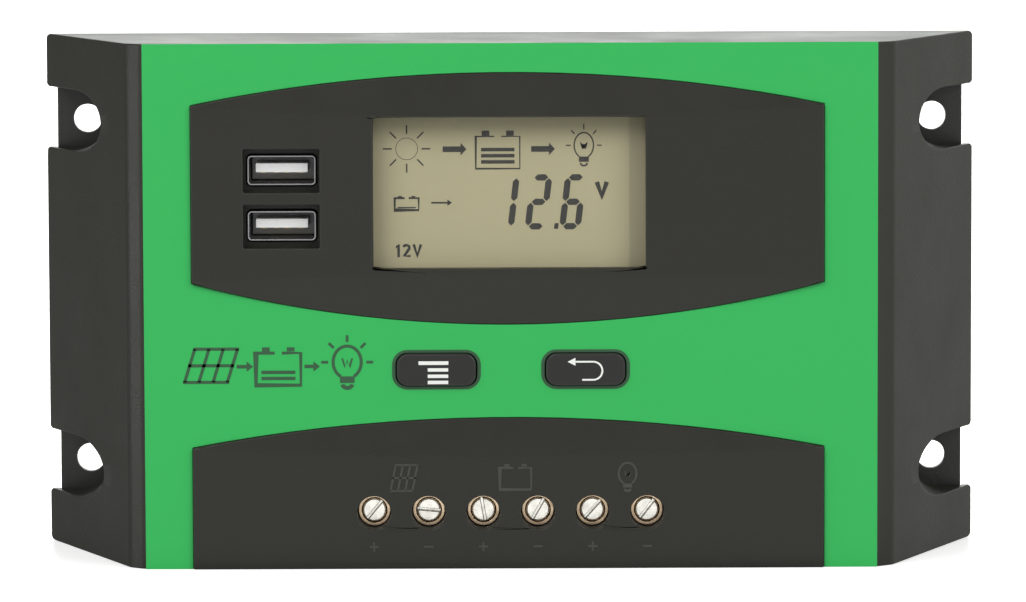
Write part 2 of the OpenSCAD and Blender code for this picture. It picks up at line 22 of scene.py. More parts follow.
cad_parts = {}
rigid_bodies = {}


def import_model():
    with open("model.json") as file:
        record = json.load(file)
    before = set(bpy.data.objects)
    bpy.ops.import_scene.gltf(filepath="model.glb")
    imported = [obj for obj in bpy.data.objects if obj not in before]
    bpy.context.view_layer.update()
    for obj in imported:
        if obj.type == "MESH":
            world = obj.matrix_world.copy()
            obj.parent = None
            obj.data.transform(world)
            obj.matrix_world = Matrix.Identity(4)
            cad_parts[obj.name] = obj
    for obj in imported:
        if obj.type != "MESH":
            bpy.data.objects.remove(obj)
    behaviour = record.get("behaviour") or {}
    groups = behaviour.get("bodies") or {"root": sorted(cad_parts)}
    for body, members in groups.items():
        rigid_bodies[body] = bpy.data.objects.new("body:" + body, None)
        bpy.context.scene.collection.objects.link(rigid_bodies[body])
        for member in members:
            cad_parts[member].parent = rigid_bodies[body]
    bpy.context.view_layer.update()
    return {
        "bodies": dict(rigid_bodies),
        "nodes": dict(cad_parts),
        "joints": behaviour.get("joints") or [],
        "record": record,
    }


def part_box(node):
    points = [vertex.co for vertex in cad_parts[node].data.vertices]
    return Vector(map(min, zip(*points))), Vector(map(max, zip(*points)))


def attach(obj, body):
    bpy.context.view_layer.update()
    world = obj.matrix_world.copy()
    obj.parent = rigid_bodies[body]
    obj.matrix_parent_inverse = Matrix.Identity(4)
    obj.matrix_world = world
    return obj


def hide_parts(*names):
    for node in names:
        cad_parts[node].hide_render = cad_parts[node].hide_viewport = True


LOG = logging.getLogger("charge_controller")
MM = 0.001
HOUSING = "housing"
WELD = 2e-6
FLAT_ANGLE = math.radians(0.05)
SHARP_ANGLE = math.radians(30)
SAME_PLACE = 1e-5
LEVEL_DIGITS = 4
POLES = 6

Point = tuple[float, float]
Colour = tuple[float, float, float]


# ---------------------------------------------------------------- shader groups


def new_group(name: str, inputs: Sequence[tuple[str, str, float]], outputs: Sequence[tuple[str, str]]):
    """Starts a shader node group with named sockets.

    Args:
        name: The group's name.
        inputs: Each input's name, socket type and default (the default of a vector is left alone).
        outputs: Each output's name and socket type.

    Returns:
        The node tree, its input node and its output node.
    """
    tree = bpy.data.node_groups.new(name, "ShaderNodeTree")
    for label, kind, default in inputs:
        socket = tree.interface.new_socket(label, in_out="INPUT", socket_type=kind)
        if kind == "NodeSocketFloat":
            socket.default_value = default
    for label, kind in outputs:
        tree.interface.new_socket(label, in_out="OUTPUT", socket_type=kind)
    return tree, tree.nodes.new("NodeGroupInput"), tree.nodes.new("NodeGroupOutput")


def math_node(tree, operation: str, first, second, clamp: bool = False):
    """Adds a Math node.

    Args:
        tree: The node tree to add to.
        operation: The Math node's operation.
        first: A socket or a number for the first input.
        second: A socket or a number for the second input.
        clamp: Whether the result is kept between 0 and 1.

    Returns:
        The node's output socket.
    """
    node = tree.nodes.new("ShaderNodeMath")
    node.operation = operation
    node.use_clamp = clamp
    for socket, value in zip(node.inputs, (first, second)):
        if isinstance(value, (int, float)):
            socket.default_value = value
        else:
            tree.links.new(value, socket)
    return node.outputs[0]


class Effects:
    """The node groups that several finishes share, each built once."""

    def __init__(self) -> None:
        """Builds the three groups."""
        self.grain = self._grain()
        self.patches = self._patches()
        self.edges = self._edges()

    def _grain(self):
        """Fine moulded or blasted texture: returns the group."""
        tree, given, result = new_group(
            "fine grain",
            [("Vector", "NodeSocketVector", 0), ("Scale", "NodeSocketFloat", 1500),
             ("Detail", "NodeSocketFloat", 3)],
            [("Height", "NodeSocketFloat"), ("Mask", "NodeSocketFloat")],
        )
        noise = tree.nodes.new("ShaderNodeTexNoise")
        cells = tree.nodes.new("ShaderNodeTexVoronoi")
        cells.feature = "SMOOTH_F1"
        for node in (noise, cells):
            tree.links.new(given.outputs["Vector"], node.inputs["Vector"])
            tree.links.new(given.outputs["Scale"], node.inputs["Scale"])
        tree.links.new(given.outputs["Detail"], noise.inputs["Detail"])
        height = math_node(tree, "ADD", noise.outputs["Fac"], cells.outputs["Distance"])
        spread = tree.nodes.new("ShaderNodeMapRange")
        spread.inputs["From Min"].default_value = 0.38
        spread.inputs["From Max"].default_value = 0.62
        tree.links.new(noise.outputs["Fac"], spread.inputs["Value"])
        tree.links.new(height, result.inputs["Height"])
        tree.links.new(spread.outputs["Result"], result.inputs["Mask"])
        return tree

    def _patches(self):
        """Broad cloudy variation with a few specks of dust: returns the group."""
        tree, given, result = new_group(
            "cloudy patches",
            [("Vector", "NodeSocketVector", 0), ("Scale", "NodeSocketFloat", 40)],
            [("Cloud", "NodeSocketFloat"), ("Specks", "NodeSocketFloat")],
        )
        cloud = tree.nodes.new("ShaderNodeTexNoise")
        cloud.inputs["Detail"].default_value = 5
        cloud.inputs["Roughness"].default_value = 0.6
        tree.links.new(given.outputs["Vector"], cloud.inputs["Vector"])
        tree.links.new(given.outputs["Scale"], cloud.inputs["Scale"])
        specks = tree.nodes.new("ShaderNodeTexVoronoi")
        tree.links.new(given.outputs["Vector"], specks.inputs["Vector"])
        tree.links.new(math_node(tree, "MULTIPLY", given.outputs["Scale"], 9.0), specks.inputs["Scale"])
        small = math_node(tree, "LESS_THAN", specks.outputs["Distance"], 0.055)
        spread = tree.nodes.new("ShaderNodeMapRange")
        spread.inputs["From Min"].default_value = 0.3
        spread.inputs["From Max"].default_value = 0.7
        tree.links.new(cloud.outputs["Fac"], spread.inputs["Value"])
        tree.links.new(spread.outputs["Result"], result.inputs["Cloud"])
        tree.links.new(math_node(tree, "MULTIPLY", small, spread.outputs["Result"]), result.inputs["Specks"])
        return tree

    def _edges(self):
        """Where an edge is rubbed: the turned normal of a rounded edge, broken up by noise."""
        tree, given, result = new_group(
            "rubbed edges",
            [("Vector", "NodeSocketVector", 0), ("Radius", "NodeSocketFloat", 0.0004),
             ("Scale", "NodeSocketFloat", 300)],
            [("Mask", "NodeSocketFloat")],
        )
        rounded = tree.nodes.new("ShaderNodeBevel")
        rounded.samples = 4
        tree.links.new(given.outputs["Radius"], rounded.inputs["Radius"])
        facing = tree.nodes.new("ShaderNodeNewGeometry")
        dot = tree.nodes.new("ShaderNodeVectorMath")
        dot.operation = "DOT_PRODUCT"
        tree.links.new(rounded.outputs["Normal"], dot.inputs[0])
        tree.links.new(facing.outputs["Normal"], dot.inputs[1])
        turned = math_node(tree, "SUBTRACT", 1.0, dot.outputs["Value"])
        turned = math_node(tree, "MULTIPLY", turned, 5.0, True)
        noise = tree.nodes.new("ShaderNodeTexNoise")
        tree.links.new(given.outputs["Vector"], noise.inputs["Vector"])
        tree.links.new(given.outputs["Scale"], noise.inputs["Scale"])
        tree.links.new(math_node(tree, "MULTIPLY", turned, noise.outputs["Fac"], True), result.inputs["Mask"])
        return tree


@dataclass(frozen=True)
class Finish:
    """One finish: a Principled surface with grain, cloudy variation and rubbed edges."""

    slot: str
    colour: Colour
    roughness: float
    metallic: float = 0.0
    variation: float = 0.12
    shade: Colour = (0.0, 0.0, 0.0)
    grain_scale: float = 1800.0
    grain_depth: float = 0.12
    stretch: tuple[float, float, float] = (1.0, 1.0, 1.0)
    patch_scale: float = 45.0
    wear: float = 0.0
    wear_colour: Colour = (0.3, 0.3, 0.28)
    gloss_spread: float = 0.08
    coat: float = 0.0
    alpha: float = 1.0
    ior: float = 1.5
    edge_radius: float = 0.0004

    def build(self, effects: Effects) -> bpy.types.Material:
        """Makes the material.

        Args:
            effects: The shared node groups.

        Returns:
            The finished material, named after its slot.
        """
        made = bpy.data.materials.new(self.slot)
        made.use_nodes = True
        tree = made.node_tree
        shader = tree.nodes["Principled BSDF"]
        shader.inputs["Metallic"].default_value = self.metallic
        shader.inputs["IOR"].default_value = self.ior
        shader.inputs["Alpha"].default_value = self.alpha
        shader.inputs["Coat Weight"].default_value = self.coat
        place = tree.nodes.new("ShaderNodeTexCoord")
        mapping = tree.nodes.new("ShaderNodeMapping")
        mapping.inputs["Scale"].default_value = self.stretch
        tree.links.new(place.outputs["Object"], mapping.inputs["Vector"])
        grain = self._group(tree, effects.grain, mapping, Scale=self.grain_scale)
        patches = self._group(tree, effects.patches, place, Scale=self.patch_scale)
        colour = self._mixed(tree, grain.outputs["Mask"], 0.5 * self.variation, (*self.colour, 1.0))
        colour = self._mixed(tree, patches.outputs["Cloud"], self.variation, colour)
        if self.wear > 0:
            edges = self._group(tree, effects.edges, place, Radius=self.edge_radius)
            colour = self._mixed(tree, edges.outputs["Mask"], self.wear, colour, self.wear_colour)
        tree.links.new(colour, shader.inputs["Base Color"])
        gloss = tree.nodes.new("ShaderNodeMapRange")
        gloss.inputs["To Min"].default_value = max(0.02, self.roughness - self.gloss_spread)
        gloss.inputs["To Max"].default_value = min(1.0, self.roughness + self.gloss_spread)
        tree.links.new(patches.outputs["Cloud"], gloss.inputs["Value"])
        tree.links.new(gloss.outputs["Result"], shader.inputs["Roughness"])
        bump = tree.nodes.new("ShaderNodeBump")
        bump.inputs["Strength"].default_value = self.grain_depth
        bump.inputs["Distance"].default_value = 0.0001
        tree.links.new(grain.outputs["Height"], bump.inputs["Height"])
        tree.links.new(bump.outputs["Normal"], shader.inputs["Normal"])
        return made

    @staticmethod
    def _group(tree, group, source, **values: float):
        """Places a shared group, fed with a vector.

        Args:
            tree: The material's node tree.
            group: The shared node group.
            source: The node whose Vector or Object output gives the place.
            values: Values for the group's named inputs.

        Returns:
            The group node.
        """
        node = tree.nodes.new("ShaderNodeGroup")
        node.node_tree = group
        out = "Object" if source.type == "TEX_COORD" else "Vector"
        tree.links.new(source.outputs[out], node.inputs["Vector"])
        for label, value in values.items():
            node.inputs[label].default_value = value
        return node

    def _mixed(self, tree, mask, share: float, base, other: Colour | None = None):
        """Mixes a second colour in where a mask is high.

        Args:
            tree: The material's node tree.
            mask: The mask socket.
            share: How much of the second colour a full mask brings.
            base: A colour socket, or four numbers.
            other: The second colour, or None for the finish's shade.

        Returns:
            The mixed colour's socket.
        """
        mix = tree.nodes.new("ShaderNodeMix")
        mix.data_type = "RGBA"
        tree.links.new(math_node(tree, "MULTIPLY", mask, share, True), mix.inputs[0])
        if isinstance(base, tuple):
            mix.inputs[6].default_value = base
        else:
            tree.links.new(base, mix.inputs[6])
        second = other if other is not None else self.shade
        mix.inputs[7].default_value = (*second, 1.0)
        return mix.outputs[2]


class Finishes(Enum):
    """Every finish of the controller, by the record's slot."""

    SHELL = Finish("shell_plastic", (0.0128, 0.0123, 0.0086), 0.42, shade=(0.0185, 0.0180, 0.0138),
                   grain_scale=2600, grain_depth=0.35, ior=1.38, wear=0.35,
                   wear_colour=(0.085, 0.087, 0.078), gloss_spread=0.05)
    # The shell's own plastic painted lighter: a painted highlight for light catching the low raised signs.
    RELIEF_HIGHLIGHT = Finish("raised_signs_painted_light", (0.030, 0.030, 0.025), 0.36, shade=(0.040, 0.040, 0.034),
                    grain_scale=2600,
                    grain_depth=0.25)
    FILM = Finish("green_film", (0.0175, 0.392, 0.079), 0.45, shade=(0.0145, 0.366, 0.071), grain_scale=3200,
                  grain_depth=0.08, variation=0.10, gloss_spread=0.04)
    PLATE = Finish("black_metal", (0.020, 0.020, 0.019), 0.38, metallic=0.35, shade=(0.035, 0.035, 0.036),
                   grain_scale=1500, grain_depth=0.22, wear=0.5, wear_colour=(0.30, 0.30, 0.30))
    LENS = Finish("clear_lens", (0.30, 0.31, 0.29), 0.06, alpha=0.03, variation=0.05, grain_depth=0.01,
                  shade=(0.26, 0.27, 0.25), gloss_spread=0.03)
    CELL = Finish("lcd_glass", (0.405, 0.367, 0.225), 0.5, shade=(0.375, 0.338, 0.203), variation=0.35,
                  grain_scale=2400, grain_depth=0.03, patch_scale=60)
    # A dark, nearly clear sheet over the display cell's right edge: a painted shadow of the opening's right
    # wall.
    EDGE_SHADOW = Finish("painted_edge_shadow", (0.10, 0.095, 0.06), 0.4, alpha=0.04, shade=(0.08, 0.075, 0.05))
    SEGMENT = Finish("lcd_segment", (0.006, 0.005, 0.003), 0.6, shade=(0.014, 0.012, 0.008), variation=0.3,
                     grain_scale=3500, grain_depth=0.02)
    WHITE = Finish("white_plastic", (0.80, 0.80, 0.80), 0.35, shade=(0.70, 0.70, 0.69), variation=0.15,
                   grain_depth=0.05)
    ZEBRA = Finish("zebra_rubber", (0.08, 0.08, 0.09), 0.7, shade=(0.35, 0.35, 0.36), variation=0.6,
                   grain_scale=3000, stretch=(1.0, 0.02, 0.02), grain_depth=0.2)
    KEY = Finish("key_plastic", (0.0125, 0.0125, 0.0120), 0.48, shade=(0.018, 0.018, 0.0172),
                 grain_scale=3000, ior=1.38,
                 grain_depth=0.2, wear=0.5, wear_colour=(0.16, 0.17, 0.15), edge_radius=0.0005)
    INK_WHITE = Finish("white_ink", (0.82, 0.83, 0.80), 0.5, shade=(0.68, 0.69, 0.66), variation=0.3,
                       grain_scale=4000, grain_depth=0.1)
    INK_DARK = Finish("dark_green_ink", (0.012, 0.060, 0.022), 0.5, shade=(0.020, 0.085, 0.032),
                      variation=0.3,
                      grain_scale=4000, grain_depth=0.1)
    SWITCH = Finish("switch_plastic", (0.02, 0.02, 0.021), 0.45, shade=(0.035, 0.035, 0.036))
    STEEL = Finish("bright_steel", (0.30, 0.30, 0.31), 0.30, metallic=1.0, shade=(0.18, 0.18, 0.19),
                   variation=0.4, grain_scale=900, stretch=(1.0, 0.05, 1.0), grain_depth=0.08, wear=0.35,
                   wear_colour=(0.62, 0.62, 0.63))
    GOLD = Finish("gold_contacts", (0.83, 0.60, 0.25), 0.25, metallic=1.0, shade=(0.6, 0.42, 0.18),
                  grain_depth=0.04)
    BOARD = Finish("circuit_board", (0.015, 0.15, 0.05), 0.3, shade=(0.01, 0.09, 0.035), variation=0.5,
                   grain_scale=500, grain_depth=0.1, coat=0.3)
    EPOXY = Finish("chip_epoxy", (0.016, 0.016, 0.017), 0.6, shade=(0.03, 0.03, 0.03), grain_scale=2500,
                   grain_depth=0.3)
    SLEEVE = Finish("capacitor_sleeve", (0.02, 0.045, 0.10), 0.25, shade=(0.015, 0.03, 0.07),
                    grain_depth=0.05,
                    coat=0.2)
    FERRITE = Finish("ferrite", (0.05, 0.05, 0.053), 0.65, shade=(0.08, 0.08, 0.085), grain_scale=1800,
                     grain_depth=0.4)
    SHUNT = Finish("shunt_alloy", (0.60, 0.38, 0.24), 0.35, metallic=1.0, shade=(0.42, 0.26, 0.17),
                   stretch=(0.05, 1.0, 1.0), grain_depth=0.1)
    TINNED = Finish("tinned_copper", (0.66, 0.66, 0.67), 0.32, metallic=1.0, shade=(0.45, 0.45, 0.47),
                    grain_depth=0.1)
    SILICONE = Finish("thermal_silicone", (0.33, 0.37, 0.41), 0.8, shade=(0.27, 0.30, 0.34), grain_depth=0.25)
    BAR = Finish("bar_aluminium", (0.62, 0.63, 0.64), 0.35, metallic=1.0, shade=(0.45, 0.46, 0.47),
                 stretch=(0.04, 1.0, 1.0), grain_depth=0.12, wear=0.4, wear_colour=(0.85, 0.86, 0.87))
    BLOCK = Finish("block_plastic", (0.020, 0.021, 0.019), 0.45, shade=(0.032, 0.033, 0.030),
                   grain_depth=0.25,
                   wear=0.3, wear_colour=(0.10, 0.10, 0.095))
    BRASS = Finish("brass", (0.80, 0.62, 0.44), 0.30, metallic=0.9, shade=(0.52, 0.34, 0.20), variation=0.45,
                   grain_scale=1200, grain_depth=0.12, patch_scale=400, wear=0.5,
                   wear_colour=(0.85, 0.66, 0.42))
    NICKEL = Finish("nickel_screws", (0.95, 0.93, 0.88), 0.27, metallic=0.9, shade=(0.84, 0.78, 0.69),
                    variation=0.4, grain_scale=1500, stretch=(1.0, 1.0, 0.2), grain_depth=0.1,
                    patch_scale=600,
                    wear=0.6, wear_colour=(0.92, 0.91, 0.89))
    ZINC = Finish("zinc_screws", (0.62, 0.63, 0.65), 0.3, metallic=1.0, shade=(0.45, 0.46, 0.50),
                  grain_depth=0.1, patch_scale=300)
    BLACKED = Finish("black_screws", (0.03, 0.03, 0.032), 0.4, metallic=0.6, shade=(0.05, 0.05, 0.055),
                     grain_depth=0.15, wear=0.6, wear_colour=(0.35, 0.35, 0.36))


class Workshop:
    """Makes materials on demand and turns meshes into pieces that ride on a body."""

    def __init__(self, frame: dict) -> None:
        """Keeps the frame.
        """
        self.frame = frame
        self.effects = Effects()
        self.made: dict[Finishes, bpy.types.Material] = {}

    def material(self, finish: Finishes) -> bpy.types.Material:
        """Gives a finish's material, and builds it the first time."""
        if finish not in self.made:
            self.made[finish] = finish.value.build(self.effects)
        return self.made[finish]

    def dress(self, node: str, finish: Finishes) -> None:
        """Puts a finish on a CAD node that stays as it is."""
        thing = self.frame["nodes"][node]
        thing.data.materials.clear()
        thing.data.materials.append(self.material(finish))

    def publish(self, mesh: bmesh.types.BMesh, name: str, body: str, finish: Finishes, *,
                bevel: float = 0.0, segments: int = 2, slot: str = "",
                tight: Callable[[bmesh.types.BMEdge], bool] | None = None) -> bpy.types.Object:
        """Turns a bmesh into a piece.

        Args:
            mesh: The shape, which is freed.
            name: The piece's name.
            body: The body that it rides on.
            finish: Its finish.
            bevel: Width of the rounding on sharp edges, in millimetres.
            segments: Segments of that rounding.
            slot: The record's slot, if it isn't the finish's own; not used.
            tight: Tells which sharp edges are left unrounded, or None.

        Returns:
            The new object.
        """
        mesh.normal_update()
        share = mesh.edges.layers.float.new("bevel_weight_edge")
        for face in mesh.faces:
            face.smooth = True
        for edge in mesh.edges:
            edge.smooth = len(edge.link_faces) == 2 and edge.calc_face_angle(0.0) < SHARP_ANGLE
            edge[share] = 0.0 if edge.smooth or (tight and tight(edge)) else 1.0
        data = bpy.data.meshes.new(name)
        mesh.to_mesh(data)
        mesh.free()
        data.materials.append(self.material(finish))
        piece = bpy.data.objects.new(name, data)
        bpy.context.scene.collection.objects.link(piece)
        if bevel > 0:
            rounding = piece.modifiers.new("rounding", "BEVEL")
            rounding.width = bevel * MM
            rounding.segments = segments
            rounding.limit_method = "WEIGHT"
            rounding.use_clamp_overlap = False
            rounding.harden_normals = True
            rounding.miter_outer = "MITER_ARC"
            shading = piece.modifiers.new("even_shading", "WEIGHTED_NORMAL")
            shading.mode = "FACE_AREA"
            shading.weight = 100
            shading.keep_sharp = True
        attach(piece, body)
        LOG.info("%s on %s", name, body)
        return piece

    def node_copy(self, node: str) -> bmesh.types.BMesh:
        """Copies a CAD node's mesh, merges its corners and joins its flat faces.

        Args:
            node: The node's name.

        Returns:
            The welded copy.
        """
        mesh = bmesh.new()
        mesh.from_mesh(self.frame["nodes"][node].data)
        bmesh.ops.remove_doubles(mesh, verts=mesh.verts, dist=WELD)
        bmesh.ops.dissolve_limit(mesh, angle_limit=FLAT_ANGLE, verts=mesh.verts, edges=mesh.edges)
        return mesh

    def finish_node(self, node: str, name: str, body: str, finish: Finishes, bevel: float,
                    segments: int = 2) -> None:
        """Replaces a CAD node by its own welded copy with rounded edges."""
        piece = self.publish(self.node_copy(node), name, body, finish, bevel=bevel, segments=segments)
        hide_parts(node)


# ---------------------------------------------------------------- shapes in the front plane


def place(x: float, depth: float, z: float) -> Vector:
    """Gives a point in metres from millimetres across, out from the wall, and up."""
    return Vector((x * MM, -depth * MM, z * MM))


def prism(mesh: bmesh.types.BMesh, points: Sequence[Point], back: float, front: float) -> None:
    """Adds a front-plane outline with thickness.

    Args:
        mesh: The bmesh to add to.
        points: The outline's corners in order, in millimetres across and up.
        back: Distance of the rear face from the wall, in millimetres.
        front: Distance of the front face from the wall, in millimetres.
    """
    face = mesh.faces.new([mesh.verts.new(place(x, back, z)) for x, z in points])
    made = bmesh.ops.extrude_face_region(mesh, geom=[face])["geom"]
    moved = [v for v in made if isinstance(v, bmesh.types.BMVert)]
    bmesh.ops.translate(mesh, verts=moved, vec=place(0, front - back, 0))
    near = [f for v in moved for f in v.link_faces]
    bmesh.ops.recalc_face_normals(mesh, faces=list({*near, face}))


def arc(centre: Point, radius: Point, start: float, end: float, steps: int) -> list[Point]:
    """Gives points along an elliptical arc.

    Args:
        centre: Its centre.
        radius: Its two half axes.
        start: First angle in degrees.
        end: Last angle in degrees.
        steps: Number of chords.

    Returns:
        The points, both ends included.
    """
    angles = (math.radians(start + (end - start) * i / steps) for i in range(steps + 1))
    return [(centre[0] + radius[0] * math.cos(a), centre[1] + radius[1] * math.sin(a)) for a in angles]


def rounded_box(centre: Point, size: Point, radius: float, steps: int = 6) -> list[Point]:
    """Gives the outline of a rectangle with round corners, anticlockwise."""
    half_w, half_h = size[0] / 2 - radius, size[1] / 2 - radius
    line = []
    for sx, sz, turn in ((1, 1, 0), (-1, 1, 90), (-1, -1, 180), (1, -1, 270)):
        middle = (centre[0] + sx * half_w, centre[1] + sz * half_h)
        line += arc(middle, (radius, radius), turn, turn + 90, steps)
    return line


def stroke(points: Sequence[Point], width: float) -> list[Point]:
    """Gives the outline of a line of a given width through points, with square ends.

    Args:
        points: The line's points.
        width: Its width.

    Returns:
        The outline, anticlockwise or clockwise.
    """
    left, right = [], []
    for i, (x, z) in enumerate(points):
        before = Vector(points[max(i - 1, 0)])
        after = Vector(points[min(i + 1, len(points) - 1)])
        run = (after - before).normalized()
        here = Vector((x, z))
        stretch = 1.0
        if 0 < i < len(points) - 1:
            first = (here - before).normalized()
            stretch = 1.0 / max(0.5, math.cos(first.angle(run, 0.0)))
        side = Vector((-run.y, run.x)) * width / 2 * stretch
        left.append(tuple(here + side))
        right.append(tuple(here - side))
    return left + right[::-1]


def ring(centre: Point, radius: Point, width: float, steps: int = 40) -> list[list[Point]]:
    """Gives the two half outlines of a closed ring."""
    halves = []
    for start in (0, 180):
        outer = arc(centre, radius, start, start + 180, steps // 2)
        inner = arc(centre, (radius[0] - width, radius[1] - width), start, start + 180, steps // 2)
        halves.append(outer + inner[::-1])
    return halves


def arrow(start: Point, length: float, shaft: float, head: float, head_length: float) -> list[Point]:
    """Gives the outline of an arrow that points right."""
    x, z = start
    neck = x + length - head_length
    return [(x, z - shaft / 2), (neck, z - shaft / 2), (neck, z - head / 2), (x + length, z),
            (neck, z + head / 2), (neck, z + shaft / 2), (x, z + shaft / 2)]


def box_outline(low: Point, high: Point) -> list[Point]:
    """Gives a rectangle's outline from two corners."""
    return [low, (high[0], low[1]), high, (low[0], high[1])]


def middle_of(node: str) -> Point:
    """Gives a node's middle in the front plane, in millimetres."""
    low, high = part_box(node)
    return (low.x + high.x) / 2 / MM, (low.z + high.z) / 2 / MM


def hoop(centre: Point, radius: float, steps: int) -> list[Point]:
    """Gives a closed circle's outline."""
    return arc(centre, (radius, radius), 0, 360, steps)[:-1]


def shifted(outlines: Iterable[Sequence[Point]], offset: Point) -> list[list[Point]]:
    """Moves outlines."""
    return [[(x + offset[0], z + offset[1]) for x, z in line] for line in outlines]


class Signs:
    """Pictograms about their own centre, as outlines in millimetres."""

    @staticmethod
    def sun(ring_r: float, ray_start: float, ray_end: float, width: float) -> list[list[Point]]:
        """A ring with eight rays."""
        lines = ring((0, 0), (ring_r, ring_r), width * 0.4)
        for i in range(8):
            a = math.radians(45 * i)
            lines.append(stroke([(ray_start * math.cos(a), ray_start * math.sin(a)),
                                 (ray_end * math.cos(a), ray_end * math.sin(a))], width))
        return lines

    @staticmethod
    def battery(size: Point, line: float, bars: int) -> list[list[Point]]:
        """A case with two posts, an open top and level bars.

        Args:
            size: Width and height of the case.
            line: Line width.
            bars: Number of level bars.

        Returns:
            The outlines.
        """
        w, h = size[0] / 2, size[1] / 2
        gap = 0.08 * size[0]
        lines = [
            stroke([(-gap, h), (-w, h), (-w, -h), (w, -h), (w, h), (gap, h)], line),
            box_outline((-0.73 * w, h + line / 2), (-0.38 * w, h + 0.18 * size[1])),
            box_outline((0.38 * w, h + line / 2), (0.73 * w, h + 0.18 * size[1])),
        ]
        for i in range(bars):
            z = -0.58 * h + i * 0.38 * h
            lines.append(box_outline((-0.76 * w, z - 0.11 * h), (0.76 * w, z + 0.11 * h)))
        return lines

    @staticmethod
    def lamp(radius: Point, line: float, rays: bool) -> list[list[Point]]:
        """A bulb with a cap, a filament and, if asked, five rays."""
        rx, rz = radius
        lines = [stroke(arc((0, 0), radius, -62, 242, 36), line)]
        neck = -rz * 0.88
        lines.append(box_outline((-rx * 0.52, neck - rz * 0.42), (rx * 0.52, neck)))
        lines.append(stroke(arc((0, neck - rz * 0.5), (rx * 0.34, rz * 0.22), 180, 360, 8), line * 1.3))
        lines.append(stroke([(-rx * 0.36, rz * 0.25), (-rx * 0.16, -rz * 0.3), (0, rz * 0.1),
                             (rx * 0.16, -rz * 0.3), (rx * 0.36, rz * 0.25)], line * 0.55))
        if rays:
            for turn in (0, 45, 90, 135, 180):
                a = math.radians(turn)
                lines.append(stroke([(1.35 * rx * math.cos(a), 1.25 * rz * math.sin(a)),
                                     (1.85 * rx * math.cos(a), 1.68 * rz * math.sin(a))], line * 0.9))
        return lines

    @staticmethod
    def panel(size: Point, line: float, lean: float) -> list[list[Point]]:
        """A leaning panel with two by three cells."""
        w, h = size[0] / 2, size[1] / 2
        lines = []
        for i in range(4):
            x = -w + size[0] * i / 3
            lines.append(stroke([(x - lean, -h), (x + lean, h)], line))
        for i in range(3):
            z = -h + size[1] * i / 2
            shift = lean * z / h
            lines.append(stroke([(-w + shift - line / 2, z), (w + shift + line / 2, z)], line))
        return lines


# ---------------------------------------------------------------- moulded plates


@dataclass(frozen=True)
class Zone:
    """A part of a moulded plate: where it is in the front plane, and how deep its rear face lies."""

    inside: Callable[[float, float], bool]
    back: Callable[[float, float], float]


@dataclass
class Moulding:
    """A plate whose front follows a height over the front plane and whose back differs by zone."""

    outline: list[Point]
    height: Callable[[float, float], float]
    zones: Sequence[Zone]
    holes: list[list[Point]] = field(default_factory=list)
    guides: list[list[Point]] = field(default_factory=list)

    def add_to(self, mesh: bmesh.types.BMesh) -> None:
        """Adds the closed plate to a bmesh.

        Args:
            mesh: The bmesh to add to.
        """
        places, triangles = self._triangles()
        columns: list[dict[float, bmesh.types.BMVert]] = [{} for _ in places]

        def depth_of(level: int, index: int) -> float:
            """Gives the depth of a level at a corner: -1 is the front, the others are the zones' backs."""
            x, z = places[index]
            return round(self.height(x, z) if level < 0 else self.zones[level].back(x, z), LEVEL_DIGITS)

        def vert(level: int, index: int) -> bmesh.types.BMVert:
            """Gives the vertex at a level above a corner."""
            depth = depth_of(level, index)
            if depth not in columns[index]:
                columns[index][depth] = mesh.verts.new(place(places[index][0], depth, places[index][1]))
            return columns[index][depth]

        def rise(index: int, first: int, last: int) -> list[bmesh.types.BMVert]:
            """Gives every vertex over a corner from one level to another."""
            start, end = depth_of(first, index), depth_of(last, index)
            between = sorted(d for d in columns[index] if min(start, end) <= d <= max(start, end))
            return [columns[index][d] for d in (between if start <= end else reversed(between))]

        sides: dict[tuple[int, int], int] = {}
        for zone, corners in triangles:
            mesh.faces.new([vert(-1, i) for i in corners])
            mesh.faces.new([vert(zone, i) for i in reversed(corners)])
            for start, end in zip(corners, corners[1:] + corners[:1]):
                sides[start, end] = zone
        for (start, end), zone in sides.items():
            other = sides.get((end, start))
            wall = []
            if other is None:
                wall = rise(start, -1, zone) + rise(end, zone, -1)
            elif zone < other:
                wall = rise(start, other, zone) + rise(end, zone, other)
            if len(wall) > 2:
                mesh.faces.new(wall)

    def _triangles(self) -> tuple[list[Point], list[tuple[int, list[int]]]]:
        """Splits the plate's outline along every hole and guide.

        Returns:
            The corners, and each triangle with its zone and its corners' numbers.
        """
        points: list[Vector] = []
        edges: list[tuple[int, int]] = []
        closed = [self.outline, *self.holes]
        for number, line in enumerate([*closed, *self.guides]):
            first = len(points)
            points.extend(Vector(p) for p in line)
            edges.extend((i, i + 1) for i in range(first, len(points) - 1))
            if number < len(closed):
                edges.append((len(points) - 1, first))
        places, _, faces, *_ = delaunay_2d_cdt(points, edges, [], 0, SAME_PLACE)
        kept = []
        for face in faces:
            x = sum(places[i].x for i in face) / 3
            z = sum(places[i].y for i in face) / 3
            if not within(x, z, self.outline) or any(within(x, z, hole) for hole in self.holes):
                continue
            zone = next(i for i, part in enumerate(self.zones) if part.inside(x, z))
            turn = (places[face[1]] - places[face[0]]).cross(places[face[2]] - places[face[0]])
            kept.append((zone, list(face) if turn > 0 else list(reversed(face))))
        return [(p.x, p.y) for p in places], kept


def within(x: float, z: float, outline: Sequence[Point]) -> bool:
    """Tells whether a place is inside a closed outline."""
    inside = False
    for (x0, z0), (x1, z1) in zip(outline, [*outline[1:], outline[0]]):
        if (z0 > z) != (z1 > z) and x < x0 + (z - z0) * (x1 - x0) / (z1 - z0):
            inside = not inside
    return inside


def everywhere(back: float) -> list[Zone]:
    """One zone for a whole plate, with a flat back."""
    return [Zone(lambda x, z: True, lambda x, z: back)]


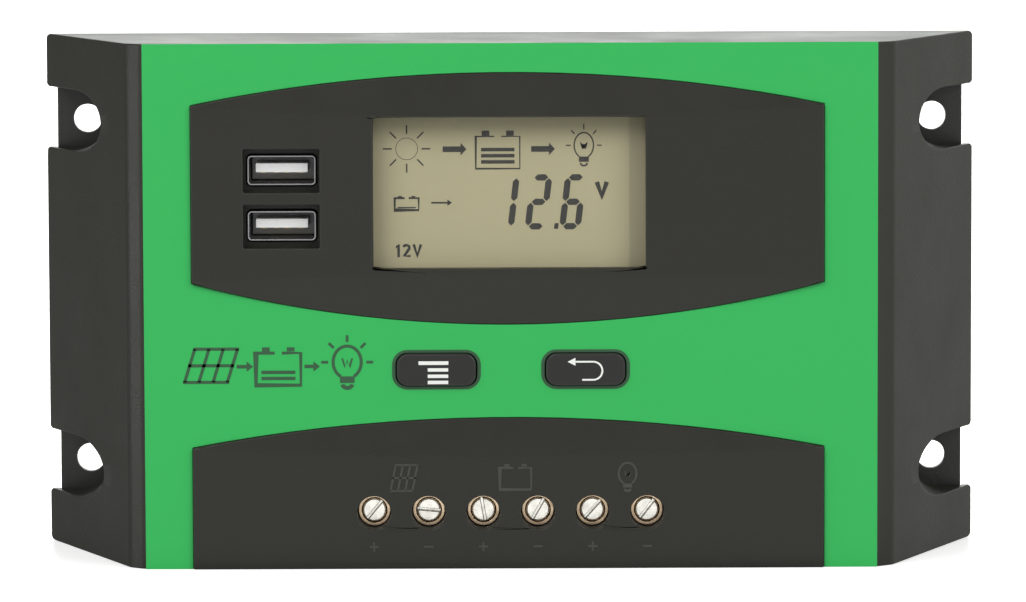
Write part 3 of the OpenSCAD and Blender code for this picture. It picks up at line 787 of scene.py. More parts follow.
def bow(half: float, middle: float, rise: float, steps: int, centre: float = 0.0) -> list[Point]:
    """Gives an arc across the front from left to right.

    Args:
        half: Half of its width.
        middle: Height of its middle.
        rise: How far its ends lie below the middle, negative if above.
        steps: Number of chords.
        centre: Its middle, across.

    Returns:
        Its points.
    """
    radius = (half * half + rise * rise) / (2 * abs(rise))
    sign = math.copysign(1.0, rise)
    points = []
    for i in range(steps + 1):
        x = -half + 2 * half * i / steps
        points.append((centre + x, middle - sign * (radius - math.sqrt(radius * radius - x * x))))
    return points


# ---------------------------------------------------------------- sub-assemblies


@dataclass(frozen=True)
class Pad:
    """A raised black pad of the front: arched, and falling to the film beyond its creases."""

    left: float
    right: float
    face: float
    fall: float
    top: tuple[float, float, float]
    low: tuple[float, float, float] | None
    floor: float
    soft: float = 0.45
    steps: int = 80
    short: float = 0.12

    @property
    def middle(self) -> float:
        """The pad's middle, across."""
        return (self.left + self.right) / 2

    @property
    def half(self) -> float:
        """Half of the pad's width."""
        return (self.right - self.left) / 2

    def outline(self) -> list[Point]:
        """The pad's outline, anticlockwise."""
        ends, mid, _ = self.top
        upper = bow(self.half, mid, mid - ends, self.steps, self.middle)
        if self.low is None:
            return [(self.left, self.floor), (self.right, self.floor), *reversed(upper)]
        ends, mid, _ = self.low
        return bow(self.half, mid, mid - ends, self.steps, self.middle) + list(reversed(upper))

    def guides(self) -> list[list[Point]]:
        """Rows beside every crease, which let it bend softly."""
        rows = []
        for side in (self.top, self.low):
            if side is None:
                continue
            ends, mid, crease = side
            sign = math.copysign(1.0, mid - crease)
            for share in (-1.0, -0.5, 0.0, 0.5, 1.0):
                rise = ends - sign * self.short - crease
                row = bow(self.half - 0.3, crease, -rise, self.steps, self.middle)
                rows.append([(x, z + share * self.soft) for x, z in row])
        return rows

    def height(self, x: float, z: float) -> float:
        """The pad's depth at a place in the front plane."""
        drop = 0.0
        for side in (self.top, self.low):
            if side is None:
                continue
            ends, mid, crease = side
            sign = math.copysign(1.0, mid - crease)
            rise = abs(ends - sign * self.short - crease)
            radius = (self.half * self.half + rise * rise) / (2 * rise)
            beyond = radius - math.hypot(x - self.middle, (z - crease) * sign - radius)
            if beyond > self.soft:
                drop += beyond * self.fall / abs(mid - crease)
            elif beyond > -self.soft:
                drop += (beyond + self.soft) ** 2 / (4 * self.soft) * self.fall / abs(mid - crease)
        return self.face - drop


@dataclass(frozen=True)
class Post:
    """A hollow post behind the front: half its width, its bore, its foot's depth and its places."""

    outer: float
    bore: float
    foot: float
    places: tuple[Point, ...]


@dataclass
class Housing:
    """The moulded shell, the printed film, the back plate and its screws, in millimetres.

    Attributes:
        front_x: Half the flat front's width; the narrow bands run from there out to band_x.
        band_depth: Depth of the bands' outer edge, from which the sides slope to the back.
        skin: Depth of the flat front under the film.
        pocket: Across, up and radius of the round bottom of each fixing pocket.
        rebate: Half width, half height and depth of the step that takes the back plate.
        eye_top, eye_low, terminal_top: Height of a pad's edge at its ends and in its middle, and
            height of its crease in the middle.
        usb_floor: Two corners of the recess floor that the sockets stand in.
        wire_gap: Free space beside, ahead of and behind the wire mouths.
    """

    BOSSES = Post(3.5, 1.3, 2.0, ((-66, -42.5), (-66, 42.5), (66, -42.5), (66, 42.5)))
    DISPLAY_POSTS = Post(3.0, 0.95, 29.5, ((-54, 38.5), (34, 38.5), (-54, -16), (34, -16)))

    shop: Workshop
    edge: float = 0.26
    wall: float = 2.2
    band_x: float = 73.5
    front_x: float = 70.5
    band_depth: float = 42.3
    skin: float = 44.7
    band_round: float = 1.1
    corner: float = 1.0
    pocket: tuple[float, float, float] = (85.3, 34.1, 6.0)
    pocket_wall: float = 1.9
    mouth: float = 0.8
    rebate: tuple[float, float, float] = (89.7, 49.15, 2.0)
    rebate_lip: float = 0.4
    rim: float = 0.15
    pad_x: Point = (-61.1, 60.0)
    pad_edge: float = 0.3
    eye_top: tuple[float, float, float] = (38.7, 44.85, 36.4)
    eye_low: tuple[float, float, float] = (4.6, -3.4, 6.25)
    eye_opening: tuple[Point, Point] = ((-54, 3.5), (28.5, 37.5))
    lcd_opening: tuple[Point, Point] = ((-26.3, 7.35), (25.9, 36.35))
    terminal_top: tuple[float, float, float] = (-27.1, -21.4, -28.8)
    terminal_opening: tuple[Point, Point] = ((-31, -44), (31, -35.5))
    pole: Point = (-26.4, -39.7)
    pole_pitch: float = 10.5
    pole_r: float = 3.25
    key_hole: tuple[Point, float] = ((15.6, 6.7), 2.4)
    usb_x: float = -43.8
    usb_z: Point = (26.2, 15.55)
    usb_window: Point = (14.6, 8.3)
    usb_port: tuple[Point, float] = ((13.4, 6.0), 0.95)
    usb_floor: tuple[Point, Point] = ((-52.3, 10.2), (-35.3, 31.55))
    usb_floor_t: float = 1.25
    overlap: float = 0.05
    wire_gap: tuple[float, float, float] = (0.2, 0.3, 0.2)
    pole_sign: tuple[float, float, float] = (-46.2, 0.9, 0.4)
    print_height: float = 0.02
    film_pen: float = 0.62
    relief: float = 0.09
    relief_root: float = 0.2
    relief_pen: float = 0.42
    half_w: float = field(init=False)
    half_h: float = field(init=False)

    def __post_init__(self) -> None:
        """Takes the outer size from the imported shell."""
        low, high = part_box("front_shell")
        self.half_w, self.half_h = high.x / MM, high.z / MM

    def build(self) -> None:
        """Builds every piece of the housing."""
        self._shell()
        self.shop.finish_node("front_film", "front_film_print", HOUSING, Finishes.FILM, 0.06, 1)
        self.shop.finish_node("back_plate", "back_plate_finished", HOUSING, Finishes.PLATE, 0.15, 2)
        self.shop.finish_node("shell_screws", "shell_screws_finished", HOUSING, Finishes.BLACKED, 0.08, 1)
        self._film_signs()
        self._relief_signs()

    def _profile(self) -> list[Point]:
        """The shell's front seen from above, as depth over the distance from its middle, outwards."""
        corners = [(self.front_x, self.skin), (self.band_x, self.band_depth)]
        path = [(0.0, self.skin), *corners, (self.half_w, self.rim)]
        points = [path[0]]
        for i, corner in enumerate(corners, 1):
            before = (Vector(path[i - 1]) - Vector(corner)).normalized() * self.band_round
            after = (Vector(path[i + 1]) - Vector(corner)).normalized() * self.band_round
            for step in range(7):
                t = step / 6
                bent = Vector(corner) + before * (1 - t) ** 2 + after * t ** 2
                points.append((bent.x, bent.y))
        return [*points, path[-1]]

    def _depth(self, x: float, z: float) -> float:
        """The shell's depth at a place, without its pads."""
        x = abs(x)
        profile = self._profile()
        for (x0, d0), (x1, d1) in zip(profile, profile[1:]):
            if x <= x1:
                return d0 + (d1 - d0) * (x - x0) / (x1 - x0)
        return profile[-1][1]

    def _outline(self) -> list[Point]:
        """The shell seen from the front, with its four open pockets."""
        px, pz, pr = self.pocket
        w, h, m, c = self.half_w, self.half_h, self.mouth, self.corner
        quarter = [(w, 0.0)]
        quarter += arc((w - m, pz - pr - m), (m, m), 0, 90, 6)
        quarter += arc((px, pz), (pr, pr), 270, 90, 40)
        quarter += arc((w - m, pz + pr + m), (m, m), -90, 0, 6)
        quarter += arc((w - c, h - c), (c, c), 0, 90, 8)
        upper = quarter + [(-x, z) for x, z in reversed(quarter)]
        lower = [(-x, -z) for x, z in upper]
        return upper[:-1] + lower[:-1]

    def _pocket_walls(self, outer_x: float) -> list[list[Point]]:
        """The outlines of the walls round the four pockets, out to a distance from the middle."""
        px, pz, pr = self.pocket
        reach = pr + self.pocket_wall
        bend = [(outer_x, pz - reach), *arc((px, pz), (reach, reach), 270, 90, 32), (outer_x, pz + reach)]
        return [[(sx * x, sz * z) for x, z in bend] for sx in (-1, 1) for sz in (-1, 1)]

    def _body(self) -> Moulding:
        """The hollow outer body, open under both pads."""
        rx, rz, rebate_depth = self.rebate
        inner_x, inner_z = rx - self.rebate_lip, self.half_h - self.wall
        steep = (self.half_w - self.band_x) / self.band_depth
        thick = self.wall * math.sqrt(1 + 1 / (steep * steep)) - 2 * self.rim
        ceiling = self.skin - self.wall
        walls = self._pocket_walls(inner_x)

        def inner(x: float, z: float) -> float:
            """The cavity's depth."""
            return max(rebate_depth, min(ceiling, (self.half_w - abs(x)) / steep - thick))

        zones = [
            Zone(lambda x, z: abs(x) > rx or abs(z) > rz, lambda x, z: 0.0),
            Zone(lambda x, z: abs(x) > inner_x or abs(z) > inner_z or any(within(x, z, w) for w in walls),
                 lambda x, z: min(rebate_depth, self._depth(x, z) - 0.1)),
            Zone(lambda x, z: True, inner),
        ]
        guides = [[*box_outline((-rx, -rz), (rx, rz)), (-rx, -rz)],
                  [*box_outline((-inner_x, -inner_z), (inner_x, inner_z)), (-inner_x, -inner_z)]]
        guides += walls
        knee = self.half_w - (ceiling + thick) * steep
        for x in [p[0] for p in self._profile()[1:-1]] + [knee]:
            for side in (-x, x):
                guides.append([(side, -self.half_h), (side, self.half_h)])
        holes = [box_outline(*self.eye_opening), box_outline(*self.terminal_opening)]
        holes += [rounded_box(middle_of(f"key_{name}"), *self.key_hole, 8) for name in ("menu", "return")]
        return Moulding(self._outline(), self._depth, zones, holes, guides)

    def _shell(self) -> None:
        """The whole shell: body, pads, socket recess, bosses and posts."""
        mesh = bmesh.new()
        self._body().add_to(mesh)
        self._open_wire_side(mesh)
        front = -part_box("front_shell")[0].y / MM
        fall = front - self.skin - self.pad_edge
        back = self.skin - self.wall - self.overlap
        self._eye_pad(front, fall, back).add_to(mesh)
        self._terminal_pad(front, fall, back).add_to(mesh)
        ports = [rounded_box((self.usb_x, z), *self.usb_port, 5) for z in self.usb_z]
        Moulding(box_outline(*self.usb_floor), lambda x, z: back + self.overlap,
                 everywhere(back - self.usb_floor_t), ports).add_to(mesh)
        for post in (self.BOSSES, self.DISPLAY_POSTS):
            for spot in post.places:
                bore = [hoop(spot, post.bore, 24)]
                Moulding(hoop(spot, post.outer, 48), lambda x, z: back + 4 * self.overlap,
                         everywhere(post.foot), bore).add_to(mesh)
        piece = self.shop.publish(mesh, "front_shell_moulding", HOUSING, Finishes.SHELL, bevel=self.edge,
                                  segments=3, tight=self._thin_rim)
        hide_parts("front_shell")

    def _eye_pad(self, front: float, fall: float, back: float) -> Moulding:
        """The pad round the sockets and the display."""
        pad = Pad(*self.pad_x, front, fall, self.eye_top, self.eye_low, 0.0)
        half_w, half_h = self.usb_window[0] / 2, self.usb_window[1] / 2
        windows = [box_outline(*self.lcd_opening)]
        windows += [box_outline((self.usb_x - half_w, z - half_h), (self.usb_x + half_w, z + half_h))
                    for z in self.usb_z]
        return Moulding(pad.outline(), pad.height, everywhere(back), windows, pad.guides())

    def _terminal_pad(self, front: float, fall: float, back: float) -> Moulding:
        """The pad round the terminal screws, which ends in the shell's lower side."""
        pad = Pad(*self.pad_x, front, fall, self.terminal_top, None, -self.half_h)
        x, z = self.pole
        rims = [hoop((x + self.pole_pitch * n, z), self.pole_r, 48) for n in range(POLES)]
        seam = -self.half_h + self.wall
        backs = [Zone(lambda x, z: z < seam, lambda x, z: self.skin), *everywhere(back)]
        guides = [*pad.guides(), [(pad.left, seam), (pad.right, seam)]]
        return Moulding(pad.outline(), pad.height, backs, rims, guides)

    def _open_wire_side(self, mesh: bmesh.types.BMesh) -> None:
        """Cuts the opening in the lower wall that the terminal housing's wire mouths stand in."""
        low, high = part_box("terminal_block")
        side, ahead, behind = self.wire_gap
        low = low - Vector((side, ahead, 0)) * MM
        high = high + Vector((side, behind, 0)) * MM
        below = (-self.half_h + self.wall + 2 * self.overlap) * MM
        halfway = below - self.wall / 2 * MM
        mesh.normal_update()

        def wall_faces() -> list[bmesh.types.BMFace]:
            """The lower wall's outer and inner faces."""
            return [f for f in mesh.faces if abs(f.normal.z) > 0.99 and all(v.co.z < below for v in f.verts)]

        for corner in (low, high):
            for way in (Vector((1, 0, 0)), Vector((0, 1, 0))):
                faces = wall_faces()
                edges = {e for f in faces for e in f.edges}
                verts = {v for f in faces for v in f.verts}
                bmesh.ops.bisect_plane(mesh, geom=[*faces, *edges, *verts], plane_co=corner, plane_no=way)
        centre = (low + high) / 2
        opened = []
        for face in wall_faces():
            middle = face.calc_center_median()
            if low.x < middle.x < high.x and low.y < middle.y < high.y:
                opened.append(face)
        rim = {v for f in opened for v in f.verts}
        bmesh.ops.delete(mesh, geom=opened, context="FACES")
        rim = {v for v in rim if v.is_valid}
        for corner in (low, high):
            for axis, other in ((0, 1), (1, 0)):
                line = [v for v in rim if abs(v.co[axis] - corner[axis]) < WELD]
                outer = sorted((v for v in line if v.co.z < halfway), key=lambda v: v.co[other])
                inner = sorted((v for v in line if v.co.z > halfway), key=lambda v: -v.co[other])
                joined = mesh.faces.new(outer + inner)
                joined.normal_update()
                if joined.normal[axis] * (centre[axis] - corner[axis]) < 0:
                    joined.normal_flip()

    def _thin_rim(self, edge: bmesh.types.BMEdge) -> bool:
        """Tells whether an edge is on the sides' thin rim, or where the pad meets the lower side."""
        side = (self.half_w - self.mouth) * MM
        low, skin, near = -self.half_h * MM, -self.skin * MM, 0.02 * MM
        return (all(abs(v.co.x) > side for v in edge.verts)
                or all(abs(v.co.y - skin) < near and abs(v.co.z - low) < near for v in edge.verts))

    def _film_signs(self) -> None:
        """Three printed pictograms joined by arrows, left of the keys."""
        front = -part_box("front_film")[0].y / MM
        mesh = bmesh.new()
        pen = self.film_pen
        lines = shifted(Signs.panel((8.2, 6.4), pen, 1.0), (-57.5, -11.2))
        lines += shifted(Signs.battery((8.6, 6.2), pen, 2), (-44.6, -11.9))
        lines += shifted(Signs.lamp((2.7, 3.1), pen, True), (-31.4, -10.6))
        for x, length in ((-52.6, 3.2), (-39.6, 3.0)):
            lines.append(arrow((x, -11.4), length, 0.7, 2.0, 1.3))
        for line in lines:
            prism(mesh, line, front - self.print_height, front + self.print_height)
        self.shop.publish(mesh, "film_pictograms", HOUSING, Finishes.INK_DARK, slot="green_film")

    def _relief_signs(self) -> None:
        """Raised signs on the terminal pad: panel, battery and lamp, and the poles' signs, coloured as the
        shell's plastic painted lighter, a painted highlight.
        """
        front = -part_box("front_shell")[0].y / MM
        mesh = bmesh.new()
        pen = self.relief_pen
        lines = shifted(Signs.panel((4.2, 5.0), pen, 0.5), (-20.6, -32.9))
        lines += shifted(Signs.battery((6.0, 4.2), 0.45, 0), (0.8, -33.1))
        lines += shifted(Signs.lamp((1.7, 2.1), pen, False), (22.3, -32.2))
        z, arm, width = self.pole_sign
        for n in range(POLES):
            x = self.pole[0] + self.pole_pitch * n
            lines.append(stroke([(x - arm, z), (x + arm, z)], width))
            if n % 2 == 0:
                lines.append(stroke([(x, z + arm), (x, z + width / 2)], width))
                lines.append(stroke([(x, z - width / 2), (x, z - arm)], width))
        for line in lines:
            prism(mesh, line, front - self.relief_root, front + self.relief)
        self.shop.publish(mesh, "terminal_pad_relief", HOUSING, Finishes.RELIEF_HIGHLIGHT, bevel=0.04, segments=1,
                          slot="shell_plastic")


@dataclass
class Display:
    """The lens, the liquid crystal cell and what it shows."""

    shop: Workshop
    slant: float = 0.12
    digit_half_w: float = 1.48
    digit_half_h: float = 4.7
    bar: float = 1.22
    gap: float = 0.14
    digit_z: float = -2.05
    opening_half_w: float = 26.1
    # Width, inset, gap and thickness of the strip that paints the opening's shadow on the cell's right edge.
    shadow_strip_w: float = 3.1
    shadow_strip_in: float = 0.1
    shadow_strip_gap: float = 0.04
    shadow_strip_t: float = 0.08
    centre: Point = field(init=False)

    SEGMENTS = {"1": "bc", "2": "abged", "6": "afgedc"}

    def __post_init__(self) -> None:
        """Finds the centre of the opening from the cell behind it."""
        self.centre = middle_of("lcd_window")

    def build(self) -> None:
        """Builds the lens, the cell, its dark segments and a painted shadow along the cell's right edge."""
        self.shop.finish_node("lcd_window", "lcd_lens", HOUSING, Finishes.LENS, 0.1, 2)
        self.shop.finish_node("lcd_glass", "lcd_cell", HOUSING, Finishes.CELL, 0.15, 2)
        front = -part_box("lcd_glass")[0].y / MM
        mesh = bmesh.new()
        for line in shifted(self._content(), self.centre):
            prism(mesh, line, front - 0.05, front + 0.02)
        self.shop.publish(mesh, "lcd_segments", HOUSING, Finishes.SEGMENT, slot="lcd_glass")
        self._cell_shadow_strip(front)

    def _cell_shadow_strip(self, front: float) -> None:
        """A dark, nearly clear strip over the cell's right edge: a painted shadow of the opening's right wall.
        """
        low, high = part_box("lcd_glass")
        left = self.centre[0] + self.opening_half_w - self.shadow_strip_w
        bottom = low.z / MM + self.shadow_strip_in
        line = box_outline((left, bottom), (high.x / MM - self.shadow_strip_in, high.z / MM - self.shadow_strip_in))
        mesh = bmesh.new()
        prism(mesh, line, front + self.shadow_strip_gap, front + self.shadow_strip_gap + self.shadow_strip_t)
        self.shop.publish(mesh, "lcd_painted_shadow_strip", HOUSING, Finishes.EDGE_SHADOW, slot="clear_lens")

    def _content(self) -> list[list[Point]]:
        """Everything that the display shows, about the centre of its opening."""
        lines = shifted(Signs.sun(2.15, 2.85, 4.57, 0.28), (-19.67, 8.23))
        lines += shifted(Signs.battery((8.44, 6.2), 0.27, 3), (-2.19, 7.47))
        lines += shifted(Signs.lamp((1.85, 2.45), 0.27, True), (14.31, 8.8))
        for x in (-12.75, 4.2):
            lines.append(arrow((x, 8.13), 4.57, 1.1, 2.45, 1.15))
        for x, digit in ((-0.65, "1"), (5.6, "2"), (12.2, "6")):
            for letter in self.SEGMENTS[digit]:
                lines.append(self._leaning(self._segment(letter), (x, self.digit_z)))
        lines.append(self._leaning(box_outline((-0.4, -0.55), (0.4, 0.55)), (9.0, self.digit_z - 4.65)))
        lines.append(stroke([(16.8, 1.75), (17.75, -0.9), (18.7, 1.75)], 0.9))
        lines += shifted(Signs.battery((4.6, 2.3), 0.38, 1), (-19.7, -2.4))
        lines.append(arrow((-15.0, -2.15), 4.0, 0.34, 1.25, 0.9))
        lines += shifted(self._small_rating(), (-19.35, -11.35))
        return lines

    def _small_rating(self) -> list[list[Point]]:
        """The small nominal voltage in the lower corner."""
        one = [(-2.2, -1.25), (-1.7, -1.25), (-1.7, 1.2), (-2.05, 1.2), (-2.5, 0.85),
               (-2.5, 0.4), (-2.2, 0.6)]
        two = stroke([(-1.0, 0.7), (-0.8, 1.0), (-0.35, 1.05), (0.1, 0.8), (0.1, 0.4),
                      (-0.85, -1.02), (0.35, -1.02)], 0.5)
        unit = stroke([(0.95, 1.2), (1.65, -0.95), (2.35, 1.2)], 0.54)
        return [one, two, unit]

    def _leaning(self, points: Sequence[Point], centre: Point) -> list[Point]:
        """Leans an outline to the right and moves it to its centre."""
        return [(x + self.slant * z + centre[0], z + centre[1]) for x, z in points]

    def _segment(self, letter: str) -> list[Point]:
        """Gives one bar of a digit by its usual letter, as a six-sided outline.

        Args:
            letter: One of a to g.

        Returns:
            The outline about the digit's centre.
        """
        w, h, b = self.digit_half_w, self.digit_half_h, self.bar / 2
        ends = {"a": ((-w, h), (w, h)), "g": ((-w, 0), (w, 0)), "d": ((-w, -h), (w, -h)),
                "f": ((-w, 0), (-w, h)), "b": ((w, 0), (w, h)),
                "e": ((-w, -h), (-w, 0)), "c": ((w, -h), (w, 0))}
        first, last = (Vector(p) for p in ends[letter])
        along = (last - first).normalized()
        side = Vector((-along.y, along.x)) * b
        start, end = first + along * self.gap, last - along * self.gap
        corners = (start, start + along * b + side, end - along * b + side, end,
                   end - along * b - side, start + along * b - side)
        return [tuple(p) for p in corners]


@dataclass
class Keys:
    """The two keys with their printed signs."""

    shop: Workshop
    crown: float = 0.4
    print_height: float = 0.02
    border: Point = (17.05, 7.65)
    border_radius: float = 2.9
    border_line: float = 0.66

    def build(self) -> None:
        """Builds both keys."""
        for name in ("menu", "return"):
            self._cap(name)
            self._border(name)
        self._sign("menu", self._menu_sign())
        self._sign("return", self._return_sign())
        for name in ("menu", "return"):
            self.shop.dress(f"switch_{name}", Finishes.SWITCH)
            self.shop.dress(f"plunger_{name}", Finishes.SWITCH)

    def _cap(self, name: str) -> None:
        """A key cap with a softly rounded rim, its flange and its stem, set back by its print's thickness."""
        mesh = self.shop.node_copy(f"key_{name}")
        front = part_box(f"key_{name}")[0].y
        face = [v for v in mesh.verts if v.co.y < front + 0.01 * MM]
        bmesh.ops.translate(mesh, verts=face, vec=(0, self.print_height * MM, 0))
        piece = self.shop.publish(mesh, f"key_{name}_cap", f"{name}_key", Finishes.KEY, bevel=self.crown,
                                  segments=4)
        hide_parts(f"key_{name}")

    def _border(self, name: str) -> None:
        """Prints the dark line on the film round a key."""
        front = -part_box("front_film")[0].y / MM
        outer = rounded_box((0, 0), self.border, self.border_radius, 8)
        inner_size = (self.border[0] - 2 * self.border_line, self.border[1] - 2 * self.border_line + 0.2)
        inner = rounded_box((0, 0), inner_size, self.border_radius - self.border_line, 8)
        half = len(outer) // 2
        mesh = bmesh.new()
        for start in (0, half):
            span = [(start + i) % len(outer) for i in range(half + 1)]
            line = [outer[i] for i in span] + [inner[i] for i in reversed(span)]
            for points in shifted([line], middle_of(f"key_{name}")):
                prism(mesh, points, front - self.print_height, front + self.print_height)
        self.shop.publish(mesh, f"key_{name}_border", HOUSING, Finishes.INK_DARK, slot="green_film")

    def _sign(self, name: str, lines: list[list[Point]]) -> None:
        """Prints a key's sign on its face."""
        front = -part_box(f"key_{name}")[0].y / MM
        mesh = bmesh.new()
        for line in shifted(lines, middle_of(f"key_{name}")):
            prism(mesh, line, front - 0.03, front)
        self.shop.publish(mesh, f"key_{name}_sign", f"{name}_key", Finishes.INK_WHITE, slot="key_plastic")

    @staticmethod
    def _menu_sign() -> list[list[Point]]:
        """One long bar above three shorter ones, all ending on the right."""
        lines = [box_outline((-3.42, 1.0), (2.3, 1.7))]
        lines += [box_outline((-1.66, z), (2.26, z + 0.66)) for z in (-0.29, -1.52, -2.70)]
        return lines

    @staticmethod
    def _return_sign() -> list[list[Point]]:
        """A curved arrow that turns back to the left."""
        bend = arc((1.46, -0.23), (1.75, 1.74), 90, -90, 18)
        hook = stroke([(-2.0, 1.51), *bend, (-0.66, -1.97)], 0.34)
        head = [(-3.45, 1.51), (-1.95, 2.27), (-1.95, 0.75)]
        return [hook, head]


@dataclass
class Sockets:
    """The two charging sockets."""

    shop: Workshop

    def build(self) -> None:
        """Builds the metal shells, tongues and contacts."""
        for level in ("upper", "lower"):
            self.shop.finish_node(f"usb_shell_{level}", f"usb_shell_{level}_sheet", HOUSING,
                                  Finishes.STEEL, 0.08)
            self.shop.finish_node(f"usb_tongue_{level}", f"usb_tongue_{level}_moulding", HOUSING,
                                  Finishes.WHITE, 0.12, 2)
            self.shop.dress(f"usb_contacts_{level}", Finishes.GOLD)


@dataclass
class Terminals:
    """The six-way housing, its cages, clamps and screws."""

    shop: Workshop

    def build(self) -> None:
        """Builds the housing and all six poles."""
        self.shop.finish_node("terminal_block", "terminal_block_moulding", HOUSING, Finishes.BLOCK, 0.15)
        for n in range(1, POLES + 1):
            self.shop.finish_node(f"cage_{n}", f"cage_{n}_brass", HOUSING, Finishes.BRASS, 0.12, 2)
            self.shop.finish_node(f"clamp_{n}", f"clamp_{n}_plate", f"wire_clamp_{n}", Finishes.STEEL, 0.15)
            self.shop.finish_node(f"screw_{n}", f"screw_{n}_slotted", f"clamp_screw_{n}", Finishes.NICKEL,
                                  0.1, 3)


@dataclass
class Insides:
    """The boards and what stands on them, hidden in the housing."""

    shop: Workshop

    FINISH = {
        "lcd_backlight": Finishes.WHITE, "lcd_holder": Finishes.WHITE, "lcd_zebra_strip": Finishes.ZEBRA,
        "display_board": Finishes.BOARD, "power_board": Finishes.BOARD, "header_base": Finishes.SWITCH,
        "header_pins": Finishes.GOLD, "header_socket": Finishes.SWITCH, "microcontroller": Finishes.EPOXY,
        "capacitor_upper": Finishes.SLEEVE, "capacitor_lower": Finishes.SLEEVE,
        "usb_inductor": Finishes.FERRITE,
        "current_shunt": Finishes.SHUNT, "mosfet_bodies": Finishes.EPOXY, "mosfet_leads": Finishes.TINNED,
        "thermal_pads": Finishes.SILICONE, "clamp_bar": Finishes.BAR, "board_spacers": Finishes.BRASS,
        "board_screws": Finishes.ZINC, "display_screws": Finishes.ZINC, "clamp_bar_screws": Finishes.ZINC,
    }

    def build(self) -> None:
        """Dresses every inner node."""
        for node, finish in self.FINISH.items():
            self.shop.dress(node, finish)


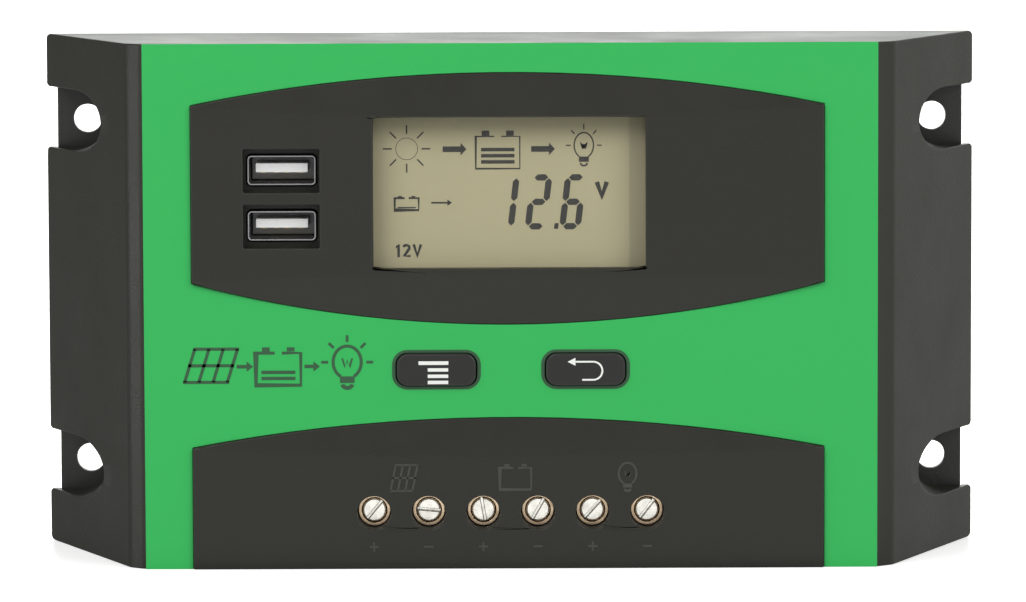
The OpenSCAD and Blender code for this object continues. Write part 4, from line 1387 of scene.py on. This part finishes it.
@dataclass
class Studio:
    """Camera, floor and light."""

    distance: float = 1.1928
    height: float = 0.1072
    aside: float = -0.0021
    tilt: float = 5.283
    yaw: float = -0.126
    roll: float = -0.192
    lens: float = 211.16
    floor_size: float = 24.0
    floor_sink: float = 0.00002
    floor_shade: float = 0.93
    floor_roughness: float = 0.3
    floor_bounce: float = 0.45
    floor_glow: float = 0.45
    mirrored_from: float = -0.05
    surround: float = 0.20
    ahead: float = 0.24
    behind: float = 2.9
    right_side: float = 0.85

    def build(self) -> None:
        """Builds the whole stage."""
        self._camera()
        self._floor()
        self._world()
        self._lights()
        bpy.context.scene.view_settings.view_transform = "Standard"

    def _camera(self) -> None:
        """A long lens a little above the object, looking slightly down."""
        data = bpy.data.cameras.new("camera")
        data.lens = self.lens
        data.sensor_width = 36.0
        data.sensor_fit = "HORIZONTAL"
        data.clip_end = 60.0
        camera = bpy.data.objects.new("camera", data)
        turn = Matrix.Rotation(math.radians(self.yaw), 4, "Z")
        turn @= Matrix.Rotation(math.radians(90 - self.tilt), 4, "X")
        turn @= Matrix.Rotation(math.radians(self.roll), 4, "Z")
        camera.matrix_world = Matrix.Translation((self.aside, -self.distance, self.height)) @ turn
        bpy.context.scene.collection.objects.link(camera)
        bpy.context.scene.camera = camera

    def _floor(self) -> None:
        """A pale floor, brighter to the camera and, in front of the object, to its mirroring parts."""
        mesh = bmesh.new()
        bmesh.ops.create_grid(mesh, x_segments=1, y_segments=1, size=self.floor_size / 2)
        bmesh.ops.translate(mesh, verts=mesh.verts, vec=(0, 0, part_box("front_shell")[0].z - self.floor_sink))
        data = bpy.data.meshes.new("floor")
        mesh.to_mesh(data)
        mesh.free()
        made = bpy.data.materials.new("floor")
        made.use_nodes = True
        tree = made.node_tree
        shader = tree.nodes["Principled BSDF"]
        shader.inputs["Roughness"].default_value = self.floor_roughness
        shader.inputs["Emission Color"].default_value = (1, 1, 1, 1)
        path = tree.nodes.new("ShaderNodeLightPath")
        tone = tree.nodes.new("ShaderNodeMix")
        tone.data_type = "RGBA"
        tone.inputs[6].default_value = (*[self.floor_bounce] * 3, 1)
        tone.inputs[7].default_value = (*[self.floor_shade] * 3, 1)
        where = tree.nodes.new("ShaderNodeTexCoord")
        parts = tree.nodes.new("ShaderNodeSeparateXYZ")
        tree.links.new(where.outputs["Object"], parts.inputs["Vector"])
        front = math_node(tree, "LESS_THAN", parts.outputs["Y"], self.mirrored_from)
        mirrored = math_node(tree, "MULTIPLY", path.outputs["Is Glossy Ray"], front)
        seen = math_node(tree, "MAXIMUM", path.outputs["Is Camera Ray"], mirrored)
        tree.links.new(seen, tone.inputs[0])
        tree.links.new(tone.outputs[2], shader.inputs["Base Color"])
        glow = math_node(tree, "MULTIPLY", seen, self.floor_glow)
        tree.links.new(glow, shader.inputs["Emission Strength"])
        data.materials.append(made)
        floor = bpy.data.objects.new("floor", data)
        bpy.context.scene.collection.objects.link(floor)

    def _world(self) -> None:
        """A grey surround, lighter ahead of the object, on its right and low behind it."""
        world = bpy.data.worlds.new("studio")
        world.use_nodes = True
        tree = world.node_tree
        way = tree.nodes.new("ShaderNodeTexCoord")
        parts = tree.nodes.new("ShaderNodeSeparateXYZ")
        tree.links.new(way.outputs["Generated"], parts.inputs["Vector"])
        total = self.surround
        for axis, low, high, share in (("Y", -0.3, -0.9, self.ahead), ("Y", 0.88, 0.98, self.behind),
                                       ("X", 0.3, 0.8, self.right_side)):
            ramp = tree.nodes.new("ShaderNodeMapRange")
            ramp.interpolation_type = "SMOOTHSTEP"
            ramp.inputs["From Min"].default_value = low
            ramp.inputs["From Max"].default_value = high
            ramp.inputs["To Max"].default_value = share
            tree.links.new(parts.outputs[axis], ramp.inputs["Value"])
            total = math_node(tree, "ADD", total, ramp.outputs["Result"])
        shade = tree.nodes["Background"]
        shade.inputs["Color"].default_value = (0.99, 1.01, 0.97, 1.0)
        tree.links.new(total, shade.inputs["Strength"])
        bpy.context.scene.world = world

    @staticmethod
    def _lights() -> None:
        """Soft boxes above the object, and a strip on the left for the edge beside the film."""
        plan = (("key_box", (-0.75, -0.95, 1.05), (0.9, 0.9), 16.0),
                ("fill_box", (0.9, -0.9, 0.8), (0.8, 0.8), 10.0),
                ("edge_strip", (-1.05, -0.19, 0.06), (0.32, 0.6), 3.0))
        for name, spot, size, power in plan:
            data = bpy.data.lights.new(name, "AREA")
            data.shape = "RECTANGLE"
            data.size, data.size_y = size
            data.energy = power
            lamp = bpy.data.objects.new(name, data)
            lamp.location = spot
            lamp.rotation_euler = (-Vector(spot)).to_track_quat("-Z", "Y").to_euler()
            bpy.context.scene.collection.objects.link(lamp)


def main() -> None:
    """Builds the controller round the frame."""
    logging.basicConfig(level=logging.INFO, format="%(message)s")
    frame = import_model()
    Studio().build()
    shop = Workshop(frame)
    for assembly in (Housing, Display, Keys, Sockets, Terminals, Insides):
        assembly(shop).build()


if __name__ == "__main__":
    main()
